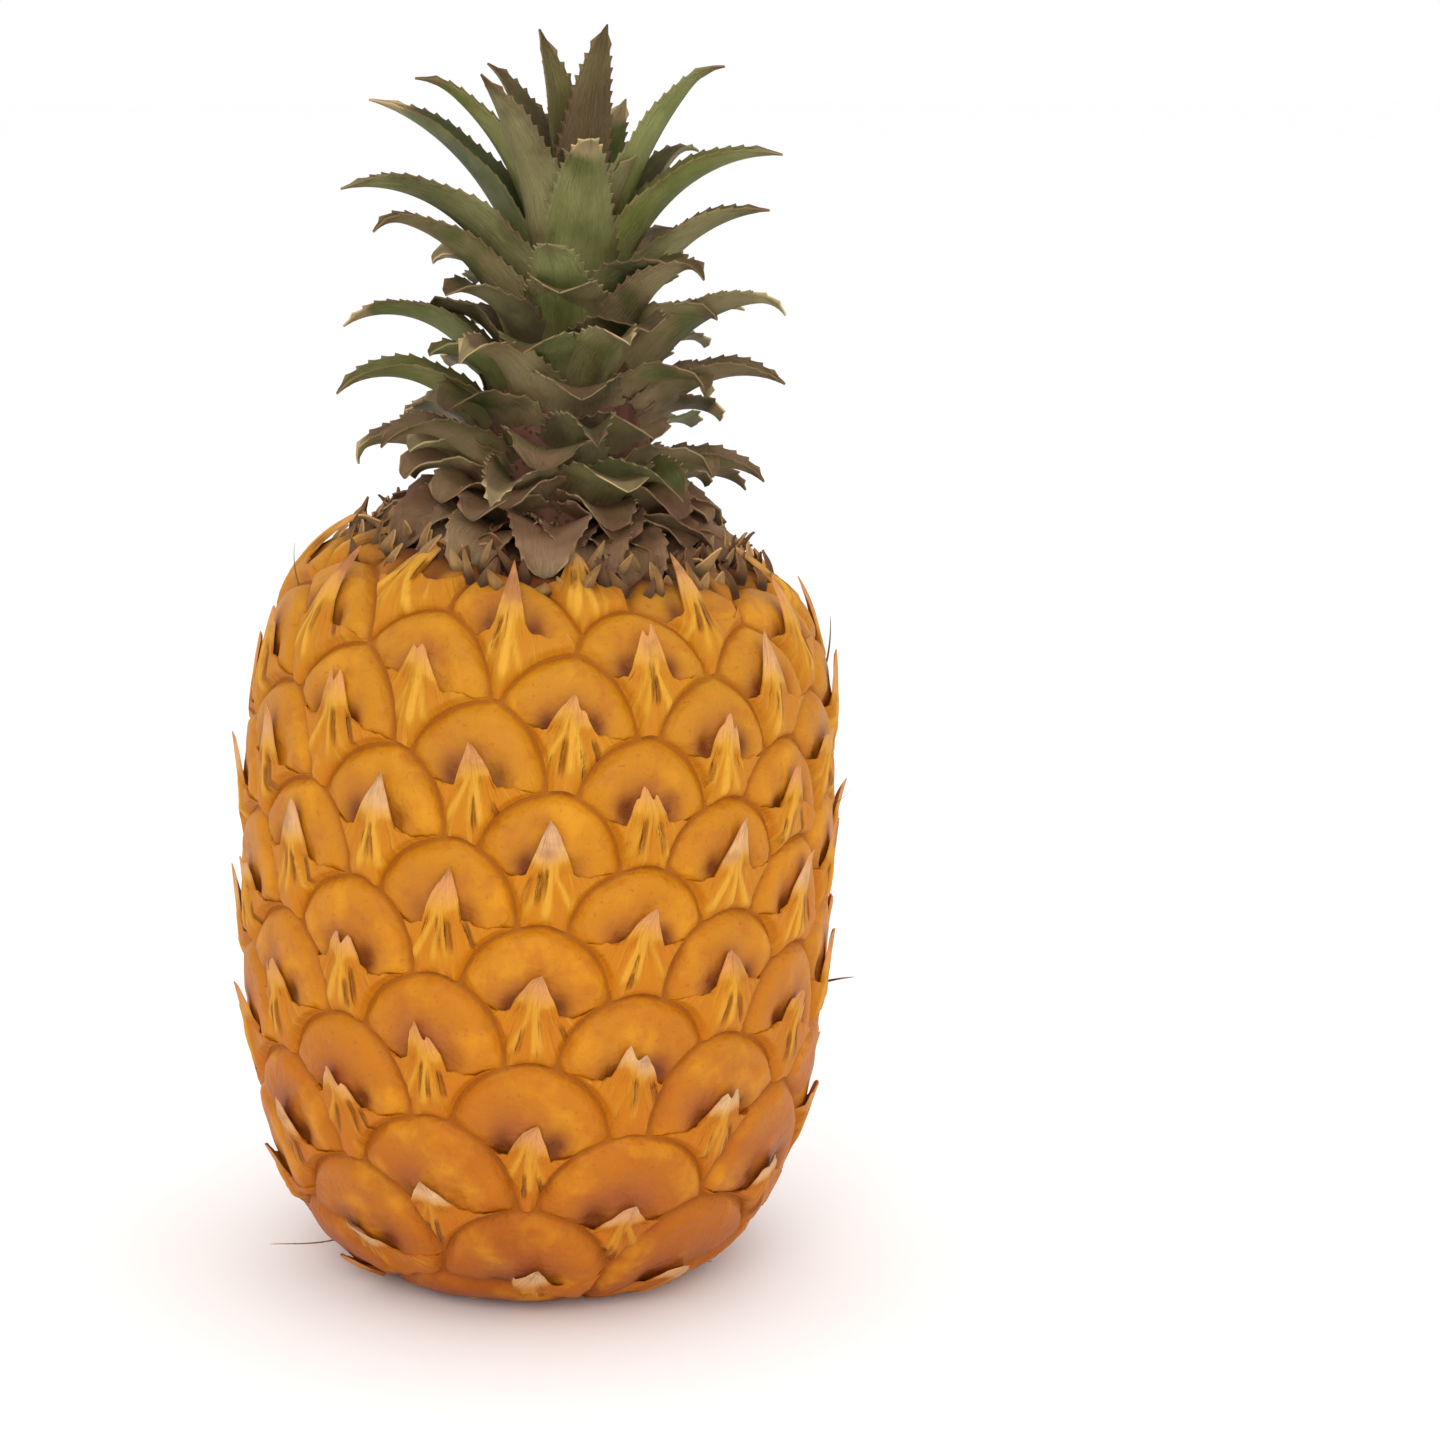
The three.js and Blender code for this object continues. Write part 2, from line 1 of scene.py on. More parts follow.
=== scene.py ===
"""A whole pineapple with its crown, dressed on its fixed frame: the rind with its eyes, the bract
tips, the dry scales under the crown, the spiny leaves and the cut stalk. Lengths are in millimetres
up to the point where a mesh is made. Directions are set in degrees, and waves turn in radians."""
import math

import bmesh
import bpy
import numpy as np
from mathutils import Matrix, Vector


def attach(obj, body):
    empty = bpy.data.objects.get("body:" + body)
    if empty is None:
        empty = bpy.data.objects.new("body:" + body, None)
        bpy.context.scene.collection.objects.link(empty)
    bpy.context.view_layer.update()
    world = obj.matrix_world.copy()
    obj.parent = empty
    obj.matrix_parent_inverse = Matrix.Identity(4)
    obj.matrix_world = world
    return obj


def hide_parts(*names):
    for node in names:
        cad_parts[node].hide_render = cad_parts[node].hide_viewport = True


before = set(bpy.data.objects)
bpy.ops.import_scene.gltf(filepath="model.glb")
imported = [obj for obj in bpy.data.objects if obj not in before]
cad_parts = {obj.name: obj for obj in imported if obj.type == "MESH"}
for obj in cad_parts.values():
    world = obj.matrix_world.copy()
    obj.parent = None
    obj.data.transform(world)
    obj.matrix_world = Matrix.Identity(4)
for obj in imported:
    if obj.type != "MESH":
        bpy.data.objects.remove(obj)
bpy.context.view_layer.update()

# ---- Camera: a long lens a little above the fruit's shoulder, looking slightly down on it ----

MM = 0.001
AIM_HEIGHT = 120
CAMERA_DISTANCE = 750
CAMERA_ELEVATION = 11
FRAME_WIDTH = 288  # what the view takes in across, at the distance of the fruit's axis
AIM_FROM_LEFT = 534 / 1440  # where the aim lies in the view
AIM_FROM_TOP = 676.8 / 1440

lens = bpy.data.cameras.new("view")
lens.lens = lens.sensor_width * CAMERA_DISTANCE / FRAME_WIDTH
lens.shift_x = 0.5 - AIM_FROM_LEFT
lens.shift_y = AIM_FROM_TOP - 0.5
camera = bpy.data.objects.new("view", lens)
elevation = math.radians(CAMERA_ELEVATION)
camera.location = (
    0,
    -CAMERA_DISTANCE * math.cos(elevation) * MM,
    (AIM_HEIGHT + CAMERA_DISTANCE * math.sin(elevation)) * MM,
)
camera.rotation_euler = (math.pi / 2 - elevation, 0, 0)
bpy.context.scene.collection.objects.link(camera)
bpy.context.scene.camera = camera

# ---- Rind: one grown body of about 120 fleshy eyes. Each eye is a fruitlet with a bract across its
# lower half and the sepals behind it, and shallow grooves keep the eyes apart. ----

WAIST_RADIUS = 57.3
WAIST_LEVEL = 85
TOP_RISE = 61.5
BASE_DROP = 86.5
TOP_ROUNDING = {"rise": 3, "radius": 6}
BASE_ROUNDING = {"rise": 2.68, "radius": 4}
PROFILE_STEPS = 4000
BEND_START = 50
BEND_END = WAIST_LEVEL + TOP_RISE
BEND_ANGLE = math.radians(5)
BEND_RADIUS = (BEND_END - BEND_START) / BEND_ANGLE

EYE_TURN = 137.167
FIRST_EYE_ANGLE = 2.2
FIRST_EYE_LEVEL = 68.6
EYE_AREA = 472
EYE_AREA_LOSS = 0.7
EYE_NUMBERS = range(-75, 91)
LOWEST_EYE_RADIUS = 26
HIGHEST_EYE_RADIUS = 29
# One side grew faster low down, which lifts the eyes there. Shear crowds the eyes sideways, one way
# below its level and the other way above.
SWELL = {"rise": 15.9, "angle": 53.2, "spread": 27.5, "level": 35.6, "height": 62.7}
SHEAR = {"turn": 10.4, "angle": 17.5, "level": 103.5, "height": 30}
# Radii between which the eyes' relief grows to its full height, on top and underneath.
SEAT = {"smooth": 21, "full": 30}
FOOT = {"smooth": 22, "full": 42}
ARCH = 0.15  # how far grooves bulge upwards, as a share of their length
GROOVE_STEPS = 7  # straight pieces along one side of an eye
# Sizes of the rings of points inside an eye, as shares of its outline.
RINGS = (0.97, 0.93, 0.88, 0.82, 0.74, 0.65, 0.56, 0.47, 0.38, 0.29, 0.2, 0.11)
SHOULDER = 1.5
DOME_LIFT = 2.05
PITS = {"depth": 1.3, "uneven": 0.35, "aside": 0.31, "up": -0.05, "wide": 0.17, "tall": 0.22}
LUMPS = {"height": 0.17, "across": 0.55, "up": 0.62}  # the last two in radians a millimetre
NEARLY_ONE = 0.999999
BARE_PLACE = {"eye": (0, 2, 0.5), "groove": 4.0}  # what the bare ends carry: past any eye's reach
# Rings of the bare ends: share of the way out to the grooves, radius of the circle inside, rise.
BARE_TOP = ((0.8, 0, 0), (0.6, 0, 0), (0.4, 0, 0), (0.2, 0, 0))
BARE_BASE = (
    (0.8, 14.4, 0),
    (0.5, 14.4, 0),
    (0.2, 14.4, 0),
    (0, 14.4, 0),
    (0, 13.8, 0.3),
    (0, 13.3, 1.2),
    (0, 13.1, 2.6),
    (0, 12.9, 4.2),
    (0, 12.2, 4.8),
    (0, 5, 5),
)


def smooth(low, high, value):
    """0 below low, 1 above high, and an even curve between."""
    share = np.clip((value - low) / (high - low), 0, 1)
    return share * share * (3 - 2 * share)


def draw(number, series):
    """A repeatable draw between -1 and 1 for an item's number, with its own series for each use."""
    wave = np.sin(np.asarray(number) * 12.9898 + series * 78.233) * 43758.5453
    return 2 * (wave - np.floor(wave)) - 1


def profile_table():
    """Radius, height, length, area and stretched length along the rind, from base to top."""
    turn = 2 * np.arange(1, PROFILE_STEPS) / PROFILE_STEPS - 1
    angle = np.abs(turn) * math.pi / 2
    low = turn < 0
    radius = WAIST_RADIUS * np.cos(angle) ** (
        2 / np.where(low, BASE_ROUNDING["radius"], TOP_ROUNDING["radius"])
    )
    rise = np.where(low, -BASE_DROP, TOP_RISE) * np.sin(angle) ** (
        2 / np.where(low, BASE_ROUNDING["rise"], TOP_ROUNDING["rise"])
    )
    height = np.maximum(WAIST_LEVEL + rise, 0)
    step = np.hypot(np.diff(radius), np.diff(height))
    mean = (radius[1:] + radius[:-1]) / 2
    table = {"r": radius, "z": height}
    for name, growth in (("s", step), ("area", 2 * math.pi * mean * step), ("u", step / mean)):
        table[name] = np.concatenate([[0], np.cumsum(growth)])
    out = np.hypot(np.gradient(height), np.gradient(radius))
    table["out_r"] = np.gradient(height) / out
    table["out_z"] = -np.gradient(radius) / out
    return table


PROFILE = profile_table()


def profile(name, key, value):
    """A quantity of the profile where the rising quantity key has the given value."""
    return np.interp(value, PROFILE[key], PROFILE[name])


def bend(x, y, z):
    """Curves points of the upright fruit over with its axis, towards +X from BEND_START up."""
    angle = np.maximum(z - BEND_START, 0) / BEND_RADIUS
    upright = angle == 0
    bent_x = BEND_RADIUS * (1 - np.cos(angle)) + x * np.cos(angle)
    bent_z = BEND_START + BEND_RADIUS * np.sin(angle) - x * np.sin(angle)
    return np.stack([np.where(upright, x, bent_x), y, np.where(upright, z, bent_z)], axis=-1)


def skin_point(s, theta, lift):
    """Points of the rind at profile length s and angle theta, raised by lift."""
    radius = profile("r", "s", s)
    height = profile("z", "s", s)
    top = height > WAIST_LEVEL
    seat = smooth(SEAT["smooth"], SEAT["full"], radius)
    foot = smooth(FOOT["smooth"], FOOT["full"], radius)
    lift = lift * np.where(top, seat, foot)
    radius = radius + profile("out_r", "s", s) * lift
    height = height + profile("out_z", "s", s) * lift
    point = bend(radius * np.sin(theta), -radius * np.cos(theta), height)
    point[..., 2] = np.maximum(point[..., 2], 0)
    return point


def wrap(angle, turn=360):
    return angle - turn * np.round(angle / turn)


def eye_middles():
    """The number, profile length and angle of the middle of each eye, in radians."""
    number = np.array(EYE_NUMBERS)
    first = np.interp(FIRST_EYE_LEVEL, PROFILE["z"], PROFILE["area"])
    area = first + number * EYE_AREA - number * number * EYE_AREA_LOSS / 2
    height = profile("z", "area", area)
    angle = wrap(FIRST_EYE_ANGLE + number * EYE_TURN)
    across = wrap(angle - SWELL["angle"]) / SWELL["spread"]
    along = (height - SWELL["level"]) / SWELL["height"]
    s = profile("s", "area", area) + SWELL["rise"] * np.exp(-across * across - along * along)
    sway = np.sin(np.radians(angle - SHEAR["angle"]))
    sway = sway * np.tanh((SHEAR["level"] - height) / SHEAR["height"])
    theta = np.radians(angle + SHEAR["turn"] * sway)
    limit = np.where(profile("z", "s", s) < WAIST_LEVEL, LOWEST_EYE_RADIUS, HIGHEST_EYE_RADIUS)
    kept = profile("r", "s", s) >= limit
    return number[kept], s[kept], theta[kept]


waist_u = PROFILE["u"][np.argmax(PROFILE["z"] >= WAIST_LEVEL)]


def on_ball(u, theta):
    """The stretched map of the rind wrapped on a ball, where shapes keep their angles."""
    wide = 1 / np.cosh(u - waist_u)
    return np.stack([wide * np.sin(theta), -wide * np.cos(theta), np.tanh(u - waist_u)], axis=-1)


def hull_faces(points):
    """The triangles of the convex hull of points, anticlockwise from outside."""
    hull = bmesh.new()
    for point in points:
        hull.verts.new(point)
    hull.verts.index_update()
    bmesh.ops.convex_hull(hull, input=hull.verts)
    faces = np.array([[vertex.index for vertex in face.verts] for face in hull.faces])
    hull.free()
    a, b, c = (points[faces[:, i]] for i in range(3))
    inward = (np.cross(b - a, c - a) * (a + b + c)).sum(-1) < 0
    faces[inward] = faces[inward][:, ::-1]
    return faces


class Eye:
    """One fruitlet: its middle on the rind and the outline of the groove round it, in local
    millimetres, x across to the right and y up along the rind."""

    def __init__(self, number, s, theta):
        self.number = number
        self.s = s
        self.theta = theta
        self.radius = profile("r", "s", s)
        self.height = profile("z", "s", s)

    def outlined(self, s, theta):
        turned = theta - self.theta
        x = self.radius * (turned - 2 * math.pi * np.round(turned / (2 * math.pi)))
        self.outline = np.stack([x, s - self.s], axis=-1)
        self.left, self.below = -self.outline.min(0)
        self.right, self.above = self.outline.max(0)

    def shares(self, x, y):
        """x and y as shares of the eye's reach to that side, from -1 to 1."""
        return (
            x / np.where(x > 0, self.right, self.left),
            y / np.where(y > 0, self.above, self.below),
        )

    def from_groove(self, x, y):
        """How far points are from the nearest groove."""
        span = np.roll(self.outline, -1, axis=0) - self.outline
        away = np.stack([x, y], axis=-1)[..., None, :] - self.outline
        share = np.clip((away * span).sum(-1) / (span * span).sum(-1), 0, 1)
        return np.sqrt(((away - share[..., None] * span) ** 2).sum(-1).min(-1))

    def lift(self, x, y):
        """Height of the sepals over the groove: a steep shoulder, a dome, and a pit at each side of
        its middle."""
        across, up = self.shares(x, y)
        wall = 1 - np.exp(-((self.from_groove(x, y) / SHOULDER) ** 2))
        pit = np.exp(
            -(((np.abs(across) - PITS["aside"]) / PITS["wide"]) ** 2)
            - ((up - PITS["up"]) / PITS["tall"]) ** 2
        )
        own = draw(self.number, 21)
        deep = PITS["depth"] * (1 + PITS["uneven"] * own * np.sign(x))
        lumps = np.sin(LUMPS["across"] * x + 3 * own) * np.sin(LUMPS["up"] * y + 5 * own)
        return wall * (DOME_LIFT - deep * pit + LUMPS["height"] * lumps)

    def place(self, x, y, lift):
        return skin_point(self.s + y, self.theta + x / self.radius, lift)


def eyes_with_outlines():
    """Every eye, and for each its groove points' numbers, beside the points of all the grooves.
    The last two outlines are those of the bare ends under the crown and round the stalk."""
    number, s, theta = eye_middles()
    ball = on_ball(profile("u", "s", s), theta)
    faces = hull_faces(np.vstack([ball, [[0, 0, 1], [0, 0, -1]]]))
    ball = np.vstack([ball, [[0, 0, 1], [0, 0, -1]]])
    normal = np.cross(ball[faces[:, 1]] - ball[faces[:, 0]], ball[faces[:, 2]] - ball[faces[:, 0]])
    normal /= np.linalg.norm(normal, axis=1)[:, None]
    level = np.arctanh(np.clip(normal[:, 2], -NEARLY_ONE, NEARLY_ONE))
    corner_s = profile("s", "u", waist_u + level)
    corner_theta = np.arctan2(normal[:, 0], -normal[:, 1])
    after = {}
    for corner, face in enumerate(faces):
        for i in range(3):
            after[face[i], face[(i + 1) % 3]] = (corner, face[(i + 2) % 3])
    points = list(zip(corner_s, corner_theta))
    grooves = {}

    def groove(one, other, start, end):
        """Numbers of the points along the groove from corner start, up to but not with end."""
        if (start, end) not in grooves:
            turn = corner_theta[end] - corner_theta[start]
            turn -= 2 * math.pi * round(turn / (2 * math.pi))
            rise = corner_s[end] - corner_s[start]
            bulge_s = bulge_theta = 0
            if max(one, other) < len(number):
                radius = profile("r", "s", corner_s[start] + rise / 2)
                across = radius * math.radians(wrap(math.degrees(theta[other] - theta[one])))
                along = s[other] - s[one]
                span = math.hypot(across, along)
                bulge = ARCH * math.hypot(radius * turn, rise)
                bulge = bulge * np.clip(2 * along / span, -1, 1) / span
                bulge_s = bulge * along
                bulge_theta = bulge * across / radius
            made = [start]
            for step in range(1, GROOVE_STEPS):
                share = step / GROOVE_STEPS
                arch = 4 * share * (1 - share)
                points.append(
                    (
                        corner_s[start] + share * rise + arch * bulge_s,
                        corner_theta[start] + share * turn + arch * bulge_theta,
                    )
                )
                made.append(len(points) - 1)
            grooves[start, end] = made
            grooves[end, start] = [end, *made[:0:-1]]
        return grooves[start, end]

    outlines = []
    for one in range(len(ball)):
        first = neighbour = next(b for a, b in after if a == one)
        outline = []
        while True:
            start, other = after[one, neighbour]
            end, _ = after[one, other]
            outline += groove(one, other, start, end)
            neighbour = other
            if neighbour == first:
                break
        outlines.append(outline)
    points = np.array(points)
    eyes = [Eye(*middle) for middle in zip(number, s, theta)]
    for eye, outline in zip(eyes, outlines):
        eye.outlined(points[outline, 0], points[outline, 1])
    return eyes, outlines, points


def grid_faces(rows, columns, closed=False):
    """Quads between neighbouring rows of a grid of points, numbered row by row."""
    index = np.arange(rows * columns).reshape(rows, columns)
    if closed:
        index = np.hstack([index, index[:, :1]])
    corners = (index[:-1, :-1], index[:-1, 1:], index[1:, 1:], index[1:, :-1])
    return np.stack(corners, axis=-1).reshape(-1, 4).tolist()


def make_piece(name, points, faces, corner_values, sharp=60):
    """An object of points in millimetres, smooth but for edges sharper than an angle, which carries
    values at its corners: for each name, one vector or number per face corner."""
    mesh = bpy.data.meshes.new(name)
    mesh.from_pydata((points * MM).tolist(), [], faces)
    for key, values in corner_values.items():
        values = np.asarray(values, float)
        kind, slot = ("FLOAT_VECTOR", "vector") if values.ndim == 2 else ("FLOAT", "value")
        mesh.attributes.new(key, kind, "CORNER").data.foreach_set(slot, values.ravel())
    mesh.shade_smooth()
    mesh.set_sharp_from_angle(angle=math.radians(sharp))
    piece = bpy.data.objects.new(name, mesh)
    bpy.context.scene.collection.objects.link(piece)
    return piece


def rind_mesh(eyes, outlines, groove_points):
    """The rind as a fan of rings inside each groove outline. The grooves' points are shared."""
    points = [skin_point(groove_points[:, 0], groove_points[:, 1], 0)]
    count = len(groove_points)
    faces = []
    place_values = []
    groove_values = []

    def add(outline, rings, local, from_groove):
        """rings of new points inside an outline, the last of them only its middle."""
        nonlocal count
        around = len(outline)
        own = len(rings)
        numbers = np.concatenate([outline, np.arange(count, count + own)])
        quads = grid_faces((own - 1) // around + 1, around, closed=True)
        last = len(numbers) - 1
        fan = [[last - around + i, last - around + (i + 1) % around, last] for i in range(around)]
        for face in quads + fan:
            faces.append([int(numbers[i]) for i in face])
            place_values.extend(local[i] for i in face)
            groove_values.extend(from_groove[i] for i in face)
        points.append(rings)
        count += own

    for eye, outline in zip(eyes, outlines):
        share = np.array(RINGS)[:, None, None]
        inside = np.vstack([(share * eye.outline).reshape(-1, 2), [[0, 0]]])
        flat = np.vstack([eye.outline, inside])
        across, up = eye.shares(*flat.T)
        own = np.full(len(flat), draw(eye.number, 22) / 2 + 0.5)
        away = eye.from_groove(*flat.T)
        lift = eye.lift(*inside.T)
        add(outline, eye.place(*inside.T, lift), np.stack([across, up, own], axis=-1), away)
    for outline, ends in zip(outlines[len(eyes) :], (BARE_TOP, BARE_BASE)):
        s, theta = groove_points[outline].T
        middle = PROFILE["s"][-1] if ends is BARE_TOP else 0
        rings = []
        for share, radius, rise in ends:
            target = np.abs(middle - radius)
            ring = skin_point(target + (s - target) * share, theta, 0)
            ring[:, 2] += rise
            rings.append(ring)
        rings.append(skin_point(np.array([middle]), np.array([0.0]), 0) + [[0, 0, ends[-1][2]]])
        plain = np.tile(BARE_PLACE["eye"], (len(outline) * (len(ends) + 1) + 1, 1))
        add(outline, np.vstack(rings), plain, np.full(len(plain), BARE_PLACE["groove"]))
    return np.vstack(points), faces, np.array(place_values), np.array(groove_values)


eyes, outlines, groove_points = eyes_with_outlines()
rind_points, rind_faces, eye_values, groove_values = rind_mesh(eyes, outlines, groove_points)
rind = make_piece("rind", rind_points, rind_faces, {"eye": eye_values, "groove": groove_values})


def srgb(red, green, blue):
    """A colour given as it looks on screen, 0 to 255, for a shader."""
    shares = [value / 255 for value in (red, green, blue)]
    linear = [((c + 0.055) / 1.055) ** 2.4 if c > 0.04 else c / 12.92 for c in shares]
    return (*linear, 1)


class Tint:
    """A socket of a material's nodes. Sums and products of numbers add the Math nodes they need."""

    def __init__(self, material, socket=None):
        self.material = material
        self.socket = socket

    def node(self, kind, settings=None, inputs=None, output=0):
        """A node of that kind with its settings made first, then its sockets' values or links."""
        made = self.material.node_tree.nodes.new("ShaderNode" + kind)
        for name, setting in (settings or {}).items():
            if name == "stops":
                ramp = made.color_ramp.elements
                while len(ramp) < len(setting):
                    ramp.new(1)
                for element, (position, colour) in zip(ramp, setting):
                    element.position = position
                    element.color = colour
            else:
                setattr(made, name, setting)
        for name, given in (inputs or {}).items():
            if isinstance(given, Tint):
                self.material.node_tree.links.new(given.socket, made.inputs[name])
            else:
                made.inputs[name].default_value = given
        return Tint(self.material, made.outputs[output]) if made.outputs else made

    def maths(self, operation, *values):
        return self.node("Math", {"operation": operation}, dict(enumerate(values)))

    def __add__(self, other):
        return self.maths("ADD", self, other)

    __radd__ = __add__

    def __sub__(self, other):
        return self.maths("SUBTRACT", self, other)

    def __rsub__(self, other):
        return self.maths("SUBTRACT", other, self)

    def __mul__(self, other):
        return self.maths("MULTIPLY", self, other)

    __rmul__ = __mul__

    def __truediv__(self, other):
        return self.maths("DIVIDE", self, other)

    def __rpow__(self, other):
        return self.maths("POWER", other, self)

    def fraction(self):
        """What is left of this beyond its whole part: another even draw from 0 to 1."""
        return self.maths("FRACT", self)

    def parts(self):
        """The three numbers of a vector."""
        return [self.node("SeparateXYZ", inputs={0: self}, output=i) for i in range(3)]

    def rise(self, low, high):
        """0 where this is below low, 1 above high, and even between. low may be the larger."""
        if low > high:
            return 1 - self.rise(high, low)
        settings = {"interpolation_type": "SMOOTHSTEP"}
        inputs = {"Value": self, "From Min": low, "From Max": high}
        return self.node("MapRange", settings, inputs)

    def bell(self, middle, spread):
        """1 where this is at middle, falling away evenly on both sides."""
        away = (self - middle) / spread
        return math.e ** (-1 * (away * away))

    def over(self, under, colour):
        """colour laid over under by this much."""
        return self.node("Mix", {"data_type": "RGBA"}, {0: self, 6: under, 7: colour}, output=2)

    def noise(self, scale, detail=3, stretch=(1, 1, 1)):
        """Cloudy variation from 0 to 1 over a place, with so many lumps to its unit of length."""
        where = self.node("Mapping", inputs={"Vector": self, "Scale": stretch})
        settings = {"Vector": where, "Scale": scale, "Detail": detail}
        return self.node("TexNoise", inputs=settings)

    def attribute(self, name):
        """A value carried by the mesh: its vector and its number."""
        settings = {"attribute_name": name}
        return [self.node("Attribute", settings, output=i) for i in (1, 2)]

    def finish(self, colour, roughness, bumps, **constants):
        """Ends the material in one surface. bumps are pairs of a height and its depth in metres."""
        normal = None
        for height, depth in bumps:
            inputs = {"Height": height, "Distance": depth, "Strength": 1}
            if normal:
                inputs["Normal"] = normal
            normal = self.node("Bump", inputs=inputs)
        inputs = {"Base Color": colour, "Roughness": roughness, "Normal": normal, **constants}
        surface = self.node("BsdfPrincipled", inputs=inputs)
        self.node("OutputMaterial", inputs={"Surface": surface})


def new_material(name):
    material = bpy.data.materials.new(name)
    material.use_nodes = True
    material.node_tree.nodes.clear()
    return Tint(material)


SKIN_HEIGHT = 148  # level at which the skin has its topmost colour
BROWN_TOP = {"inner": 36, "outer": 46, "low": 130, "high": 139}  # radii and levels of the edge of the browned top: dry tissue and painted shade


def ripe_skin(where, height):
    """Colour of the bare skin: deep orange low down, yellower towards the crown, softly clouded."""
    level = height + (where.noise(55) - 0.5) * 0.6
    stops = [
        (0.0, srgb(160, 78, 0)),
        (0.25, srgb(184, 104, 0)),
        (0.6, srgb(194, 121, 2)),
        (1.0, srgb(188, 124, 14)),
    ]
    return level.node("ValToRGB", {"stops": stops}, {0: level})


def near_crown(where):
    """1 on the top of the fruit under the crown's foot, 0 beyond it. There the top is browned,
    partly by its dry tissue and partly by painted shade under the crown.
    """
    x, y, z = where.parts()
    x = x - bend(0, 0, BEND_END)[0] * MM
    square = x * x + y * y
    inside = square.maths("SQRT", square).rise(BROWN_TOP["outer"] * MM, BROWN_TOP["inner"] * MM)
    return inside * z.rise(BROWN_TOP["low"] * MM, BROWN_TOP["high"] * MM)


def rind_material():
    material = new_material("waxy rind")
    place, _ = material.attribute("eye")
    _, groove = material.attribute("groove")
    across, up, own = place.parts()
    where = material.node("TexCoord", output=3)
    _, _, z = where.parts()
    height = z / (SKIN_HEIGHT * MM)
    colour = ripe_skin(where, height)
    clouds = where.noise(90, 4)
    lumps = where.noise(210, 3)
    colour = (clouds.rise(0.48, 0.72) * 0.6).over(colour, srgb(218, 146, 24))
    colour = (lumps.rise(0.5, 0.3) * 0.5).over(colour, srgb(176, 96, 14))
    flush = across.bell(-0.08, 0.44) * up.bell(0.08, 0.42) * clouds.rise(0.85, 0.25)
    colour = (flush * (1.2 - 0.65 * height)).over(colour, srgb(144, 72, 42))
    left_pit = across.bell(-0.32, 0.17) * own.rise(-0.1, 0.4)
    right_pit = across.bell(0.32, 0.17) * (own * 7.7).fraction().rise(0.1, 0.5)
    pits = (left_pit + right_pit) * up.bell(-0.06, 0.24) * lumps.rise(0.15, 0.5)
    colour = (pits * (1.3 - 0.3 * height)).over(colour, srgb(118, 56, 8))
    seam = groove.rise(1.05, 0.1)
    colour = (seam * 0.8).over(colour, srgb(150, 80, 0))
    green = where.noise(38, 2).rise(0.6, 0.76) * height * 0.35
    colour = green.over(colour, srgb(160, 128, 18))
    specks = where.noise(900, 2).rise(0.62, 0.76) * 0.4
    colour = specks.over(colour, srgb(140, 76, 20))
    # Brown top under the crown's foot: partly dry tissue, partly painted shade under the crown.
    dry_top_and_shade = near_crown(where)
    colour = dry_top_and_shade.over(colour, srgb(96, 48, 20))
    roughness = 0.44 + 0.2 * clouds + 0.15 * seam + 0.35 * dry_top_and_shade
    bumps = [(clouds, 0.0012), (lumps, 0.0008), (where.noise(600, 3), 0.0003)]
    material.finish(colour, roughness, bumps, **{"Specular IOR Level": 0.22})
    return material.material


rind.data.materials.append(rind_material())
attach(rind, "root")
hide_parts("fruit")

# ---- Bracts: a tough scale grown across the lower half of every eye. Its upper edge stands off the
# sepals as a thin ledge, with a pointed tip in the middle that dries pale. ----

BRACT_COLUMNS = np.sign(np.linspace(-1, 1, 37)) * np.abs(np.linspace(-1, 1, 37)) ** 1.4
BRACT_ROWS = np.concatenate([np.linspace(0, 0.5, 7), np.linspace(0.58, 1, 9)])
BRACT_GAP = {"side": 0.985, "below": 0.35}  # share of the eye's width, and clear of its groove
BRACT_ARM = {"level": -2.9, "sway": 1.5}  # the ledge's middle, from the middle of the eye
LEDGE_WAVES = ((0.3, 0.9, 6), (0.16, 2.6, 9))  # height, turn in a millimetre, turn by draw
TIP_FOOT = {"rise": 1.7, "wide": 1.5}  # swelling of the ledge where the tip begins
BRACT_TIP = {"rise": 8.8, "wide": 0.3, "sharp": 0.82}  # wide is a share of the eye's width
# Between two levels, tips turn longer and narrower towards the crown, and shorter towards the
# base, where rise is a share. A tip is torn where its draw is above low at the lower level, and
# above high at the upper one.
HIGH_TIPS = {"from": 122, "to": 144, "rise": 15, "wide": 0.22}
LOW_TIPS = {"from": 15, "to": 70, "rise": 0.76}
TORN_TIPS = {"from": 25, "to": 90, "low": -0.1, "high": 0.45}
TIP_LEAN = 2.2
LEDGE_LIFT = 0.7
TIP_LIFT = 1.1
BRACT_SUNK = 0.15
BRACT_THICKNESS = {"edge": 0.4, "body": 1.3}
FOLDS = ((-0.42, 0.16), (0.3, 0.2), (-0.08, 0.12))  # lean of each from the tip, how it varies
FOLD_WIDTH = {"foot": 0.75, "growth": 0.07}
FOLD_LIFT = 0.75
TIP_FOLD = 0.8  # the folds run together on the tip, to this share of their height
BRACT_FLOOR = (0.35, 0.8)  # lowest level of a bract's outer and inner side, inside the flat spot


def mix(low, high, share):
    return low + (high - low) * share


def blade_faces(rows, columns):
    """The faces of a closed blade: an upper grid of points, then a lower one, joined at the rim."""
    upper = np.array(grid_faces(rows, columns))
    under = rows * columns
    index = np.arange(under).reshape(rows, columns)
    rim = np.concatenate([index[0, :-1], index[:-1, -1], index[-1, :0:-1], index[:0:-1, 0]])
    after = np.roll(rim, -1)
    sides = np.stack([rim, rim + under, after + under, after], axis=-1)
    return np.vstack([upper, (upper + under)[:, ::-1], sides])


